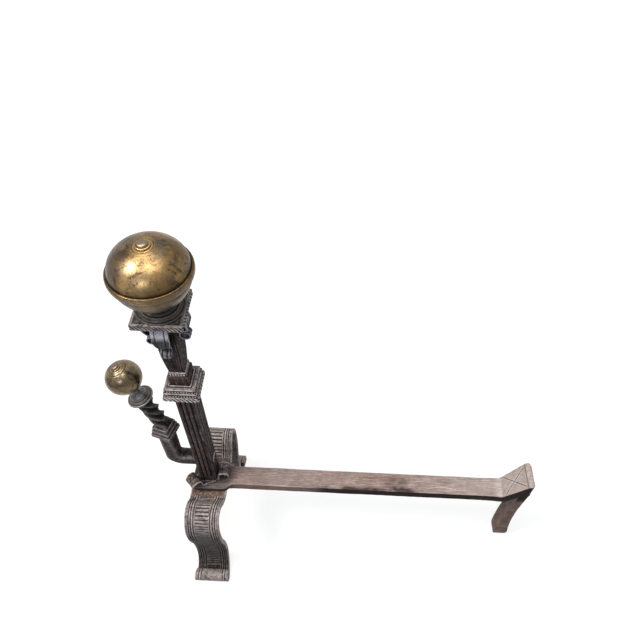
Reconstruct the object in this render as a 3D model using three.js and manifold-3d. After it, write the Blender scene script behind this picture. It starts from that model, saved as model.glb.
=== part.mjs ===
// A forged andiron: a strap arch with two scroll-toed legs carries a log bar and a fluted post.
// The post ends in a bracketed cap plate and a hollow brass ball. A twisted horn with a smaller
// ball stands in front of it. Millimetres, +Z up, +X along the log bar towards the fireback.
import * as THREE from 'three';
import { mergeVertices } from 'three/addons/utils/BufferGeometryUtils.js';
import Module from 'manifold-3d';

const wasm = await Module();
wasm.setup();

// ---------------------------------------------------------------------------
// Driving dimensions
// ---------------------------------------------------------------------------

// Clearances
const gap = 0.3;            // between two pieces that touch
const holeGap = 0.3;        // round a tenon or spindle in its hole

// Leg arch: one strap, bent into two legs
const strapThick = 7;
const seatHeight = 160;     // top of the flat seat above the floor
const seatHalf = 28;        // half the length of the flat seat
const seatWidth = 54;
const kneeWidth = 50;
const footWidth = 56;
const crownReach = 64;      // from the post's axis to the top of the knee
const crownRise = 21;       // knee above the seat
const kneeReach = 83;       // outermost point of the knee
const kneeHeight = 141;
const waistReach = 72.5;
const waistHeight = 54;
const toeReach = 100.5;     // centre of the rolled toe
const toeRadius = 10.4;
const toeFlat = 0.5;        // worn off the bottom of each toe
const toeSweep = 236;       // degrees that the toe is rolled through
const toeTipThick = 4;

// Log bar with its kink and rear leg
const barWidth = 30;
const barThick = 17;
const barLength = 446;      // from the post's axis to the foot of the kink
const tongueThick = 8.4;    // end of the bar, spread thin over the seat
const tongueWidth = 48;
const tongueReach = 25;     // in front of the post's axis
const tongueCorner = 5;     // cut off its two corners
const flareLength = 12;     // where the tongue runs into the bar
const kinkRun = 28;
const kinkRise = 45;
const kinkThick = 15;
const browRun = 12.5;       // flatter top of the kink
const browRise = 4;
const kinkWidth = 40;
const kinkFlare = 30;       // run over which the bar widens to the kink's foot
const kinkSpread = 1.2;     // wider by this on each side there
const foldCorner = 7;       // cut off the fold's two corners
const rearLegThick = 16.5;
const rearFootThick = 22;
const rearLegLean = 1;      // inner face, from the fold to the floor
const rearFootWidth = 22;
const rearFootRound = 8;    // run of the sole's rounded edges
const rearFootRise = 17;    // their height
const rearAnkleWidth = 27;
const rearAnkleHeight = 62;
const rearNeckWidth = 31;   // under the fold
const rearWaist = 3.5;      // outer face drawn in above the ankle
const rearHeel = 2;         // how far the foot's outer edge swells

// Petal plate: three leaves curled up round the foot of the post
const petalThick = 3.2;
const petalBend = 3;        // run over which a leaf turns upright
const petalWidth = 23;
const petalTipWidth = 17;
const petalRise = 12.5;       // from the plate to the curl's axis
const petalScroll = 9;    // outer radius of each curl
const petalTipThick = 1.8;
const petalCurl = 280;      // degrees
const petalAngles = [0, 135, 225];   // from the log bar's direction

// Post
const shaftWidth = 24.4;
const shaftRise = 287;      // shoulder under the beaded band, above the seat
const fluteWidth = 2.6;
const fluteDepth = 1.7;
const fluteCount = 3;       // on each face
const fluteMargin = 12;     // plain length at each end
const upperFootWidth = 18.4;
const upperBellyWidth = 25.4;
const upperBellyRise = 334; // above the seat
const upperNeckWidth = 19;
const postRise = 392;       // shoulder under the cap plate, above the seat
const tenonRadius = 6;
const spindleRadius = 4.2;

// Collars
const collarRise = 250;     // its bottom above the seat
const collarTiers = [[21.6, 7.5], [20, 7], [18.6, 6.5]];   // half width and height of each row
const collarShoulder = 2;
const bandWidth = 21;
const bandHeight = 8;
const bandCoreWidth = 15;
const bandRound = 1.4;
const moulding = 0.8;       // eased off each edge of a moulding

// Cap plate and its brackets
const capWidth = 54;
const capThick = 8.4;
const capChamfer = 1.2;
const bracketThick = 2.8;
const bracketWidth = 19;
const bracketTipWidth = 10;
const bracketTipThick = 1.8;
const bracketInset = 3;     // its foot starts this far outside the post's neck
const bracketBulge = 26;    // outer face at its widest, from the post's axis
const bracketBulgeRun = 8;  // length of the bulge's rounded shoulder
const bracketBulgeShare = 0.42; // of the drop, from the plate's underside to the widest point
const bracketScroll = 6.4;
const bracketCurl = 270;    // degrees
const bracketSaddle = 5;    // hollow above the scroll
const bracketDrop = 52;     // from the plate's underside to the scroll's bottom
const bracketRearDrop = 40; // the one over the log bar is shorter

// Great ball
const dishRadius = 26.5;
const dishHeight = 6.5;
const dishRim = 2.2;        // height of the rounded rim
const dishRing = 5.6;       // height of the ring inside it
const dishStep = 2.4;       // width of each step of the mouldings
const neckRadius = 15;
const neckWaist = 11;
const neckHeight = 5.5;
const neckRim = 2;
const neckTopRadius = 14;
const ballRadius = 41.4;    // of the lower half
const upperHalfRadius = 39.6;
const lowerHalfHeight = 43.8;
const upperHalfHeight = 28.2;
const ballWall = 2.4;
const ribRadius = 42.8;     // of the roll under the seam
const ribCore = 41.2;       // radius at the roll's two edges
const ribHeight = 9;
const ballEye = 9;          // flat round the spindle's hole
const ballFoot = 16;        // flat under the lower half
const washerRadius = 7.6;
const washerThick = 1.4;
const headRadius = 5.5;
const headHeight = 2.2;

// Horn
const hornWidth = 19;
const hornRise = 66;        // axis of the arm above the seat
const hornReach = 44;       // axis of the upright, in front of the post's axis
const elbowRadius = 13;
const hornCollarRise = 137; // its bottom above the seat
const hornCollarTiers = [[14, 7], [12.6, 7], [11.2, 6]];
const hornTurn = -17;       // degrees that the upright is turned in the collar
const hornLean = 14.5;      // degrees from upright, above the collar
const hornBendRadius = 20;  // where it starts to lean
const twistWidth = 17.4;    // across the square before it is twisted
const twistLength = 58;
const twistAngle = 315;     // degrees
const twistHollow = 1.4;    // hollow of each twisted face
const twistEase = 0.2;      // part of the twist over which the hollows fade in and out
const hornTenonRadius = 4;
const armWasherRadius = 7;
const armWasherThick = 1.6;
const discRadius = 16.8;
const discHeight = 7;
const discHub = 12.5;       // shoulder of the dome on the disc
const discRim = 2.6;        // thickness of the disc's edge
const hubHeight = 19;
const hubNeck = 5.6;
const hubLip = 7.2;
const hornBallRadius = 21.8;
const hornBallSquash = 0.93;
const hornBallWall = 2;
const hornBallEye = 7;
const hornSpindleRadius = 3.4;
const hornWasherRadius = 5.8;
const hornWasherThick = 1.2;
const hornHeadRadius = 4.2;
const hornHeadHeight = 2;

// Under the seat
const underWasherRadius = 12.5;
const underWasherThick = 3;
const underHeadRadius = 9.5;
const underHeadHeight = 4.5;

// Facets
const roundSides = 24;
const ballSides = 40;
const discSides = 28;
const bendSteps = 10;
const domeSteps = 4;
const sectionCuts = 4;      // facets across each face of the horn
const outerSteps = 9;       // from a ball's middle to its pole, outside and inside
const innerSteps = 5;
const ribSteps = 5;
const hornOuterSteps = 6;
const hornInnerSteps = 4;
const twistSteps = 26;
const cutPast = 1;          // a cutting solid runs past the face that it leaves

// ---------------------------------------------------------------------------
// Levels and places that follow from them
// ---------------------------------------------------------------------------
const seatMid = seatHeight - strapThick / 2;
const underWasherBottom = seatHeight - strapThick - gap - underWasherThick;
const tongueBottom = seatHeight + gap;
const barTop = tongueBottom + tongueThick;
const barBottom = barTop - barThick;
const petalBottom = barTop + gap;
const petalTop = petalBottom + petalThick;
const shaftFoot = petalTop + gap;
const hornHeight = seatHeight + hornRise;
const hornCollarBottom = seatHeight + hornCollarRise;
const collarBottom = seatHeight + collarRise;
const shaftTop = seatHeight + shaftRise;
const upperBellyHeight = seatHeight + upperBellyRise;
const postTop = seatHeight + postRise;
const capBottom = postTop + gap;
const capTop = capBottom + capThick;
const dishBottom = capTop + gap;
const neckBottom = dishBottom + dishHeight + gap;
const ballBottom = neckBottom + neckHeight + gap;
const ballMid = ballBottom + lowerHalfHeight;
const ballTop = ballMid + gap + upperHalfHeight;
const washerBottom = ballTop + gap;
const washerTop = washerBottom + washerThick;
const degrees = Math.PI / 180;

// ---------------------------------------------------------------------------
// Solids
// ---------------------------------------------------------------------------

// A closed three.js geometry as a solid that can be cut and joined.
function solid(geometry) {
  const bare = geometry.index ? geometry.toNonIndexed() : geometry.clone();
  for (const name of Object.keys(bare.attributes)) {
    if (name !== 'position') bare.deleteAttribute(name);
  }
  const merged = mergeVertices(bare, 1e-5);
  return new wasm.Manifold(new wasm.Mesh({
    numProp: 3,
    vertProperties: new Float32Array(merged.attributes.position.array),
    triVerts: new Uint32Array(merged.index.array),
  }));
}

function join(...solids) {
  return solids.reduce((all, one) => all.add(one));
}

// A solid back as a three.js geometry.
function geometryOf(body) {
  const mesh = body.getMesh();
  const geometry = new THREE.BufferGeometry();
  const positions = Float32Array.from(mesh.vertProperties);
  geometry.setAttribute('position', new THREE.BufferAttribute(positions, 3));
  geometry.setIndex(new THREE.BufferAttribute(Uint32Array.from(mesh.triVerts), 1));
  geometry.computeVertexNormals();
  return geometry;
}

// An outline made deep along its own normal.
function extruded(shape, depth) {
  return new THREE.ExtrudeGeometry(shape, { depth, bevelEnabled: false, curveSegments: bendSteps });
}

// An outline in the XZ plane, made wide along Y about y = 0.
function wideAlongY(shape, width) {
  const geometry = extruded(shape, width);
  geometry.rotateX(Math.PI / 2);
  geometry.translate(0, width / 2, 0);
  return solid(geometry);
}

// An outline in the YZ plane, made wide along X about x = centre.
function wideAlongX(shape, width, centre = 0) {
  const geometry = extruded(shape, width);
  const turn = new THREE.Matrix4().makeBasis(
    new THREE.Vector3(0, 1, 0), new THREE.Vector3(0, 0, 1), new THREE.Vector3(1, 0, 0));
  geometry.applyMatrix4(turn);
  geometry.translate(centre - width / 2, 0, 0);
  return solid(geometry);
}

// An outline in the XY plane, raised from one level to another.
function raised(shape, bottom, top) {
  const geometry = extruded(shape, top - bottom);
  geometry.translate(0, 0, bottom);
  return solid(geometry);
}

function box(width, depth, bottom, top) {
  const geometry = new THREE.BoxGeometry(width, depth, top - bottom);
  geometry.translate(0, 0, (top + bottom) / 2);
  return solid(geometry);
}

function rod(radius, bottom, top, sides = roundSides) {
  const geometry = new THREE.CylinderGeometry(radius, radius, top - bottom, sides);
  geometry.rotateX(Math.PI / 2);
  geometry.translate(0, 0, (top + bottom) / 2);
  return solid(geometry);
}

// A profile of [radius, height] points turned about the Z axis.
function turned(profile, sides = roundSides) {
  const points = profile.map(([radius, height]) => new THREE.Vector2(radius, height));
  if (THREE.ShapeUtils.area(points) < 0) points.reverse();
  const geometry = new THREE.LatheGeometry(points, sides);
  geometry.rotateX(Math.PI / 2);
  return solid(geometry);
}

// A profile of [half width, height] points as a square pile.
function squareTurned(profile) {
  const points = profile.map(([half, height]) => new THREE.Vector2(half * Math.SQRT2, height));
  const geometry = new THREE.LatheGeometry(points, 4, Math.PI / 4);
  geometry.rotateX(Math.PI / 2);
  return solid(geometry);
}

// A hammered rivet head: a low dome that stands on the given level.
function dome(radius, height, level, up = 1) {
  const profile = [[0, level]];
  for (let i = 0; i <= domeSteps; i++) {
    const angle = (i / domeSteps) * Math.PI / 2;
    const across = i === domeSteps ? 0 : radius * Math.cos(angle);
    profile.push([across, level + up * height * Math.sin(angle)]);
  }
  return turned(profile);
}

// Points and directions along a chain of plane curves.
function trace(curves) {
  const stations = [];
  for (const [curve, steps] of curves) {
    for (let i = stations.length ? 1 : 0; i <= steps; i++) {
      stations.push({ point: curve.getPoint(i / steps), along: curve.getTangent(i / steps) });
    }
  }
  return stations;
}

// A strap seen edge-on: the outline that lies half its thickness each side of a chain of curves.
function strapOutline(curves, thicknessAt) {
  const stations = trace(curves);
  const last = stations.length - 1;
  const sides = [1, -1].map((side) => stations.map(({ point, along }, i) => {
    const reach = side * thicknessAt(i / last) / 2;
    return new THREE.Vector2(point.x - along.y * reach, point.y + along.x * reach);
  }));
  return new THREE.Shape([...sides[0], ...sides[1].reverse()]);
}

// A curve that leaves along one axis and arrives along the other, as a quarter of an oval does.
const ovalPull = 0.5523;
function quarter(from, to, leavesAlongX) {
  const run = to[0] - from[0];
  const rise = to[1] - from[1];
  const along = [run * ovalPull, rise * ovalPull];
  const first = leavesAlongX ? [from[0] + along[0], from[1]] : [from[0], from[1] + along[1]];
  const second = leavesAlongX ? [to[0], to[1] - along[1]] : [to[0] - along[0], to[1]];
  return new THREE.CubicBezierCurve(...[from, first, second, to].map((p) => new THREE.Vector2(...p)));
}

// A curve that leaves and arrives along the same axis, as an S does.
function ess(from, to, alongX) {
  const middle = alongX ? (to[0] - from[0]) / 2 : (to[1] - from[1]) / 2;
  const first = alongX ? [from[0] + middle, from[1]] : [from[0], from[1] + middle];
  const second = alongX ? [to[0] - middle, to[1]] : [to[0], to[1] - middle];
  return new THREE.CubicBezierCurve(...[from, first, second, to].map((p) => new THREE.Vector2(...p)));
}

function line(from, to) {
  return new THREE.LineCurve(new THREE.Vector2(...from), new THREE.Vector2(...to));
}

function arc(centre, radius, fromDegrees, toDegrees) {
  const clockwise = toDegrees < fromDegrees;
  const from = fromDegrees * degrees;
  return new THREE.ArcCurve(centre[0], centre[1], radius, from, toDegrees * degrees, clockwise);
}

// An outline given by half widths at stations along X, the same on both sides.
function mirroredPlan(halfWidths) {
  const near = halfWidths.map(([along, half]) => new THREE.Vector2(along, -half));
  const far = halfWidths.map(([along, half]) => new THREE.Vector2(along, half));
  return new THREE.Shape([...near, ...far.reverse()]);
}

// Stations of a smooth width that passes through a few named ones.
function smoothWidths(knots, steps) {
  const curve = new THREE.SplineCurve(knots.map(([along, half]) => new THREE.Vector2(along, half)));
  return curve.getPoints(steps).map((p) => [p.x, p.y]);
}

// ---------------------------------------------------------------------------
// Leg arch
// ---------------------------------------------------------------------------
function legArch() {
  const toeMid = toeRadius - strapThick / 2;
  const curves = [
    [line([0, seatMid], [seatHalf, seatMid]), 1],
    [ess([seatHalf, seatMid], [crownReach, seatMid + crownRise], true), bendSteps],
    [quarter([crownReach, seatMid + crownRise], [kneeReach, kneeHeight], true), bendSteps],
    [ess([kneeReach, kneeHeight], [waistReach, waistHeight], false), bendSteps],
    [quarter([waistReach, waistHeight], [toeReach, strapThick / 2 - toeFlat], false), bendSteps],
    [arc([toeReach, toeRadius - toeFlat], toeMid, -90, toeSweep - 90), 2 * bendSteps],
  ];
  const stations = trace(curves);
  const rollFrom = 1 - (2 * bendSteps) / (stations.length - 1);
  const thicknessAt = (t) => {
    const rolled = Math.max(0, (t - rollFrom) / (1 - rollFrom));
    return strapThick - (strapThick - toeTipThick) * rolled * rolled;
  };
  const outline = strapOutline(curves, thicknessAt);
  const leg = wideAlongX(outline, footWidth + 2 * cutPast);
  const both = leg.add(leg.mirror([0, 1, 0]));
  const reach = toeReach + toeRadius + cutPast;
  const halves = smoothWidths([
    [0, seatWidth / 2],
    [seatHalf, seatWidth / 2],
    [kneeReach - strapThick, kneeWidth / 2],
    [reach, footWidth / 2],
  ], 2 * bendSteps);
  const otherLeg = halves.slice(1).reverse().map(([along, half]) => [-along, half]);
  const plan = mirroredPlan([...otherLeg, ...halves]);
  const trim = raised(plan, 0, seatMid + crownRise + strapThick).rotate([0, 0, 90]);
  return both.intersect(trim).subtract(rod(tenonRadius + holeGap, 0, seatHeight + cutPast));
}

// ---------------------------------------------------------------------------
// Log bar, kink and rear leg
// ---------------------------------------------------------------------------
const browX = barLength + kinkRun;
const foldX = browX + browRun;
const browZ = barTop + kinkRise;
const foldZ = browZ + browRise;

function logBar() {
  const slope = Math.hypot(kinkRun, kinkRise);
  const steep = kinkRise / kinkRun;
  const underX = kinkThick * kinkRise / slope;
  const underZ = kinkThick * kinkRun / slope;
  const underAt = (x) => barTop - underZ + (x - barLength - underX) * steep;
  const shoulder = seatWidth / 2 + gap;
  const legInner = foldX - rearLegThick;
  const crotch = underAt(legInner);
  const side = new THREE.Shape();
  side.moveTo(-tongueReach, tongueBottom);
  side.lineTo(shoulder, tongueBottom);
  side.lineTo(shoulder, barBottom);
  side.lineTo(barLength + underX - (barTop - underZ - barBottom) / steep, barBottom);
  side.lineTo(legInner, crotch);
  side.lineTo(foldX, crotch);
  side.quadraticCurveTo(foldX, foldZ, browX + browRun / 2, browZ + browRise / 2);
  side.lineTo(browX, browZ);
  side.lineTo(barLength, barTop);
  side.lineTo(-tongueReach, barTop);
  side.closePath();
  const flareEnd = shoulder + flareLength;
  const flare = ess([shoulder - flareLength / 2, tongueWidth / 2], [flareEnd, barWidth / 2], true);
  const plan = mirroredPlan([
    [-tongueReach, tongueWidth / 2 - tongueCorner],
    [-tongueReach + tongueCorner, tongueWidth / 2],
    ...flare.getPoints(bendSteps).map((point) => point.toArray()),
    [barLength - kinkFlare, barWidth / 2],
    [barLength, barWidth / 2 + kinkSpread],
    [browX, kinkWidth / 2],
    [foldX - foldCorner, kinkWidth / 2],
    [foldX, kinkWidth / 2 - foldCorner],
  ]);
  const bar = wideAlongY(side, 2 * tongueWidth).intersect(raised(plan, 0, foldZ + cutPast));
  return join(bar, rearLeg(crotch)).subtract(rod(tenonRadius + holeGap, 0, barTop + cutPast));
}

// The rear leg hangs from the fold: the bar itself, narrowed and thickened towards its foot.
function rearLeg(top) {
  const innerTop = foldX - rearLegThick;
  const innerFoot = innerTop - rearLegLean;
  const outerFoot = innerFoot + rearFootThick;
  const waistX = foldX - rearWaist;
  const waistZ = rearAnkleHeight * 1.8;
  const side = new THREE.Shape();
  side.moveTo(innerFoot + rearFootRound, 0);
  side.lineTo(outerFoot - rearFootRound / 2, 0);
  side.quadraticCurveTo(outerFoot + rearHeel / 2, 0, outerFoot + rearHeel, rearFootRise);
  side.quadraticCurveTo(waistX, rearAnkleHeight, waistX, waistZ);
  side.quadraticCurveTo(waistX, (waistZ + top) / 2, foldX, top + gap);
  side.lineTo(innerTop, top + gap);
  side.lineTo(innerFoot, rearAnkleHeight);
  side.lineTo(innerFoot, rearFootRise);
  side.quadraticCurveTo(innerFoot, 0, innerFoot + rearFootRound, 0);
  const half = rearFootWidth / 2;
  const halves = smoothWidths([
    [rearFootRise, half],
    [rearAnkleHeight, rearAnkleWidth / 2],
    [foldZ, rearNeckWidth / 2],
  ], 2 * bendSteps);
  const front = new THREE.Shape();
  front.moveTo(half - rearFootRound, 0);
  front.quadraticCurveTo(half, 0, half, rearFootRise);
  for (const [z, reach] of halves.slice(1)) front.lineTo(reach, z);
  for (const [z, reach] of halves.slice().reverse()) front.lineTo(-reach, z);
  front.quadraticCurveTo(-half, 0, -half + rearFootRound, 0);
  front.closePath();
  return wideAlongY(side, 2 * kinkWidth).intersect(wideAlongX(front, 4 * rearFootThick, foldX));
}

// ---------------------------------------------------------------------------
// Petal plate
// ---------------------------------------------------------------------------

// One leaf along +X, which turns upright where the shaft ends.
function petal(shaftReach) {
  const mid = petalBottom + petalThick / 2;
  const turn = petalScroll - petalThick / 2;
  const foot = shaftReach + gap;
  const neckX = foot + petalBend;
  const eye = [neckX + turn, mid + petalRise];
  const outline = strapOutline([
    [line([0, mid], [foot, mid]), 1],
    [quarter([foot, mid], [neckX, eye[1]], true), bendSteps],
    [arc(eye, turn, 180, 180 - petalCurl), 2 * bendSteps],
  ], (t) => petalThick + (petalTipThick - petalThick) * t);
  const far = eye[0] + petalScroll;
  const leaf = new THREE.Shape([
    new THREE.Vector2(0, -petalWidth / 2),
    new THREE.Vector2(neckX, -petalWidth / 2),
    new THREE.Vector2(far, -petalTipWidth / 2),
    new THREE.Vector2(far, petalTipWidth / 2),
    new THREE.Vector2(neckX, petalWidth / 2),
    new THREE.Vector2(0, petalWidth / 2),
  ]);
  return wideAlongY(outline, petalWidth).intersect(raised(leaf, petalBottom, eye[1] + 2 * petalScroll));
}

function petalPlate() {
  const faceReach = shaftWidth / 2;
  const cornerReach = shaftWidth * Math.SQRT1_2;
  const leaves = petalAngles.map((angle) => {
    const reach = angle % 90 === 0 ? faceReach : cornerReach;
    return petal(reach).rotate([0, 0, angle]);
  });
  const disc = rod(cornerReach, petalBottom, petalTop);
  const hole = rod(tenonRadius + holeGap, petalBottom - cutPast, petalTop + cutPast);
  return join(disc, ...leaves).subtract(hole);
}

// ---------------------------------------------------------------------------
// Post
// ---------------------------------------------------------------------------

// The lower shaft's section: a square with round-bottomed flutes in each face.
function flutedSection() {
  const half = shaftWidth / 2;
  const pitch = shaftWidth / (fluteCount + 1);
  const shape = new THREE.Shape();
  shape.moveTo(-half, -half);
  for (let face = 0; face < 4; face++) {
    const turn = face * Math.PI / 2;
    const place = (along, out) => [
      along * Math.cos(turn) - out * Math.sin(turn),
      along * Math.sin(turn) + out * Math.cos(turn),
    ];
    for (let i = 1; i <= fluteCount; i++) {
      const middle = -half + i * pitch;
      shape.lineTo(...place(middle - fluteWidth / 2, -half));
      shape.lineTo(...place(middle - fluteWidth / 5, -half + fluteDepth));
      shape.lineTo(...place(middle + fluteWidth / 5, -half + fluteDepth));
      shape.lineTo(...place(middle + fluteWidth / 2, -half));
    }
    if (face < 3) shape.lineTo(...place(half, -half));
  }
  shape.closePath();
  return shape;
}

function post() {
  const fluted = raised(flutedSection(), shaftFoot + fluteMargin, collarBottom - fluteMargin);
  const half = shaftWidth / 2;
  const foot = box(shaftWidth, shaftWidth, shaftFoot, shaftFoot + fluteMargin);
  const head = box(shaftWidth, shaftWidth, collarBottom - fluteMargin, shaftTop);
  const bandTop = shaftTop + bandHeight + 2 * gap;
  const core = box(bandCoreWidth, bandCoreWidth, shaftTop, bandTop);
  const swell = smoothWidths([
    [bandTop, upperFootWidth / 2],
    [upperBellyHeight, upperBellyWidth / 2],
    [postTop, upperNeckWidth / 2],
  ], bendSteps);
  const upper = squareTurned([[0, bandTop], ...swell.map(([z, w]) => [w, z]), [0, postTop]]);
  const headLevel = underWasherBottom - gap;
  const tenon = rod(tenonRadius, headLevel, shaftFoot);
  const underHead = dome(underHeadRadius, underHeadHeight, headLevel, -1);
  const spindle = rod(spindleRadius, postTop, washerTop + gap);
  const topHead = dome(headRadius, headHeight, washerTop + gap);
  const drill = rod(hornTenonRadius + holeGap, -half - cutPast, half + cutPast);
  const armHole = drill.rotate([0, 90, 0]).translate([0, 0, hornHeight]);
  return join(foot, fluted, head, core, upper, tenon, underHead, spindle, topHead).subtract(armHole);
}

// ---------------------------------------------------------------------------
// Collars
// ---------------------------------------------------------------------------

// Rows of a moulded square collar, each with its edges eased, widest at the bottom.
function collarPile(bottom, tiers, innerHalf, shoulder) {
  const profile = [[0, bottom]];
  let level = bottom;
  for (const [half, height] of tiers) {
    profile.push([half - moulding, level], [half, level + moulding]);
    profile.push([half, level + height - moulding], [half - moulding, level + height]);
    level += height;
  }
  profile.push([innerHalf + moulding, level + shoulder], [0, level + shoulder]);
  const bore = box(2 * innerHalf, 2 * innerHalf, bottom - cutPast, level + shoulder + cutPast);
  return squareTurned(profile).subtract(bore);
}

function mainCollar() {
  return collarPile(collarBottom, collarTiers, shaftWidth / 2 + gap, collarShoulder);
}

function beadBand() {
  const bottom = shaftTop + gap;
  const top = bottom + bandHeight;
  const half = bandWidth / 2;
  const profile = [
    [0, bottom], [half - bandRound, bottom], [half, bottom + bandRound], [half, top - bandRound],
    [half - bandRound, top], [0, top],
  ];
  const boreWidth = bandCoreWidth + 2 * gap;
  const bore = box(boreWidth, boreWidth, bottom - cutPast, top + cutPast);
  return squareTurned(profile).subtract(bore);
}

// ---------------------------------------------------------------------------
// Cap plate and brackets
// ---------------------------------------------------------------------------
function capPlate() {
  const half = capWidth / 2;
  const profile = [
    [0, capBottom], [half - capChamfer, capBottom], [half, capBottom + capChamfer],
    [half, capTop - capChamfer], [half - capChamfer, capTop], [0, capTop],
  ];
  const hole = rod(spindleRadius + holeGap, capBottom - cutPast, capTop + cutPast);
  return squareTurned(profile).subtract(hole);
}

// One bracket in the XZ plane: a foot under the plate, a bulge, a waist and an outward curl.
function bracket(drop) {
  const top = capBottom - gap - bracketThick / 2;
  const foot = upperNeckWidth / 2 + bracketInset;
  const bulge = bracketBulge - bracketThick / 2;
  const bulgeZ = capBottom - drop * bracketBulgeShare;
  const turn = bracketScroll - bracketTipThick / 2;
  const eye = [upperBellyWidth / 2 + 2 * gap + bracketScroll, capBottom - drop + bracketScroll];
  const saddle = [eye[0], eye[1] + turn + bracketSaddle * drop / bracketDrop];
  const curves = [
    [line([foot, top], [bulge - bracketBulgeRun, top]), 1],
    [quarter([bulge - bracketBulgeRun, top], [bulge, bulgeZ], true), bendSteps],
    [quarter([bulge, bulgeZ], saddle, false), bendSteps],
    [quarter(saddle, [eye[0] - turn, eye[1]], true), bendSteps],
    [arc(eye, turn, 180, 180 + bracketCurl), 2 * bendSteps],
  ];
  const outline = strapOutline(curves, (t) => bracketThick + (bracketTipThick - bracketThick) * t);
  const taper = new THREE.Shape();
  taper.moveTo(-bracketTipWidth / 2, eye[1] - 2 * bracketScroll);
  taper.lineTo(bracketTipWidth / 2, eye[1] - 2 * bracketScroll);
  taper.lineTo(bracketTipWidth / 2, eye[1] + bracketScroll);
  taper.lineTo(bracketWidth / 2, bulgeZ);
  taper.lineTo(bracketWidth / 2, capBottom);
  taper.lineTo(-bracketWidth / 2, capBottom);
  taper.lineTo(-bracketWidth / 2, bulgeZ);
  taper.lineTo(-bracketTipWidth / 2, eye[1] + bracketScroll);
  taper.closePath();
  return wideAlongY(outline, 2 * bracketWidth).intersect(wideAlongX(taper, 4 * bracketBulge));
}

// ---------------------------------------------------------------------------
// Great ball on its dish
// ---------------------------------------------------------------------------
function ballDish() {
  const bore = spindleRadius + holeGap;
  const rim = dishBottom + dishRim;
  const ring = dishBottom + dishRing;
  const top = dishBottom + dishHeight;
  const ringRadius = dishRadius - 2 * dishStep;
  return turned([
    [bore, dishBottom], [dishRadius - moulding, dishBottom],
    [dishRadius, dishBottom + dishRim / 2], [dishRadius - moulding, rim],
    [dishRadius - dishStep, rim], [ringRadius, (rim + ring) / 2],
    [ringRadius - moulding, ring], [ringRadius - dishStep, ring],
    [neckRadius + dishStep, ring - moulding], [neckRadius + moulding, top],
    [bore, top], [bore, dishBottom],
  ], ballSides);
}

function ballNeck() {
  const bore = spindleRadius + holeGap;
  const rim = neckBottom + neckRim;
  const top = neckBottom + neckHeight;
  return turned([
    [bore, neckBottom], [neckRadius - moulding, neckBottom], [neckRadius, neckBottom + neckRim / 2],
    [neckRadius - moulding, rim], [neckWaist, (rim + top) / 2],
    [neckTopRadius, top - moulding], [neckTopRadius - moulding, top],
    [bore, top], [bore, neckBottom],
  ]);
}

// Oval quarter from the ball's equator to its pole, as [radius, height] points.
function ovalQuarter(radius, height, pole, steps) {
  const points = [];
  const stop = Math.acos(pole / radius);
  for (let i = 0; i <= steps; i++) {
    const angle = (i / steps) * stop;
    points.push([radius * Math.cos(angle), height * Math.sin(angle) / Math.sin(stop)]);
  }
  return points;
}

// The inside of such a quarter, a wall's thickness in.
function hollow(radius, height, pole, wall, steps) {
  return ovalQuarter(radius - wall, height - wall, pole - wall, steps);
}

function ballLowerHalf() {
  const lowered = ([radius, height]) => [radius, ballMid - height];
  const outer = ovalQuarter(ballRadius, lowerHalfHeight, ballFoot, outerSteps).map(lowered);
  const inner = hollow(ballRadius, lowerHalfHeight, ballFoot, ballWall, innerSteps).map(lowered);
  const bore = spindleRadius + holeGap;
  const rib = [];
  for (let i = 0; i <= ribSteps; i++) {
    const angle = (i / ribSteps) * Math.PI;
    const radius = ribCore + (ribRadius - ribCore) * Math.sin(angle);
    rib.push([radius, ballMid - ribHeight * (1 - Math.cos(angle)) / 2]);
  }
  return turned([
    ...inner.slice().reverse(), ...rib,
    ...outer.filter(([, level]) => level < ballMid - ribHeight - moulding),
    [bore, ballBottom], [bore, ballBottom + ballWall], inner[inner.length - 1],
  ], ballSides);
}

function ballUpperHalf() {
  const level = ballMid + gap;
  const lifted = ([radius, height]) => [radius, level + height];
  const outer = ovalQuarter(upperHalfRadius, upperHalfHeight, ballEye, outerSteps).map(lifted);
  const inner = hollow(upperHalfRadius, upperHalfHeight, ballEye, ballWall, innerSteps).map(lifted);
  const bore = spindleRadius + holeGap;
  return turned([
    ...outer, [bore, ballTop], [bore, ballTop - ballWall], ...inner.slice().reverse(), outer[0],
  ], ballSides);
}

function ringWasher(outer, inner, bottom, thickness) {
  const middle = bottom + thickness / 2;
  const top = bottom + thickness;
  return turned([
    [inner, bottom], [outer, bottom], [outer, middle], [outer - thickness / 2, top],
    [inner, top], [inner, bottom],
  ]);
}

// ---------------------------------------------------------------------------
// Horn
// ---------------------------------------------------------------------------
const hornStart = shaftWidth / 2 + gap;
const hornCollarHeight = hornCollarTiers.reduce((sum, [, height]) => sum + height, collarShoulder);
const hornCollarTop = hornCollarBottom + hornCollarHeight;

// Above the horn's collar a short bend leads to a leaning axis, which starts here.
const leanX = -hornReach - hornBendRadius * (1 - Math.cos(hornLean * degrees));
const leanZ = hornCollarTop + hornBendRadius * Math.sin(hornLean * degrees);

// A piece made upright on the origin, set at the twist's far end on the leaning axis.
function onHorn(body) {
  const leaned = body.translate([0, 0, twistLength]).rotate([0, -hornLean, 0]);
  return leaned.translate([leanX, 0, leanZ]);
}

// The arm's middle line in the XZ plane: out from the post, up through the collar, then leaning.
const uprightSteps = 4;
const collarSteps = 3;
const leanSteps = 3;

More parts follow.
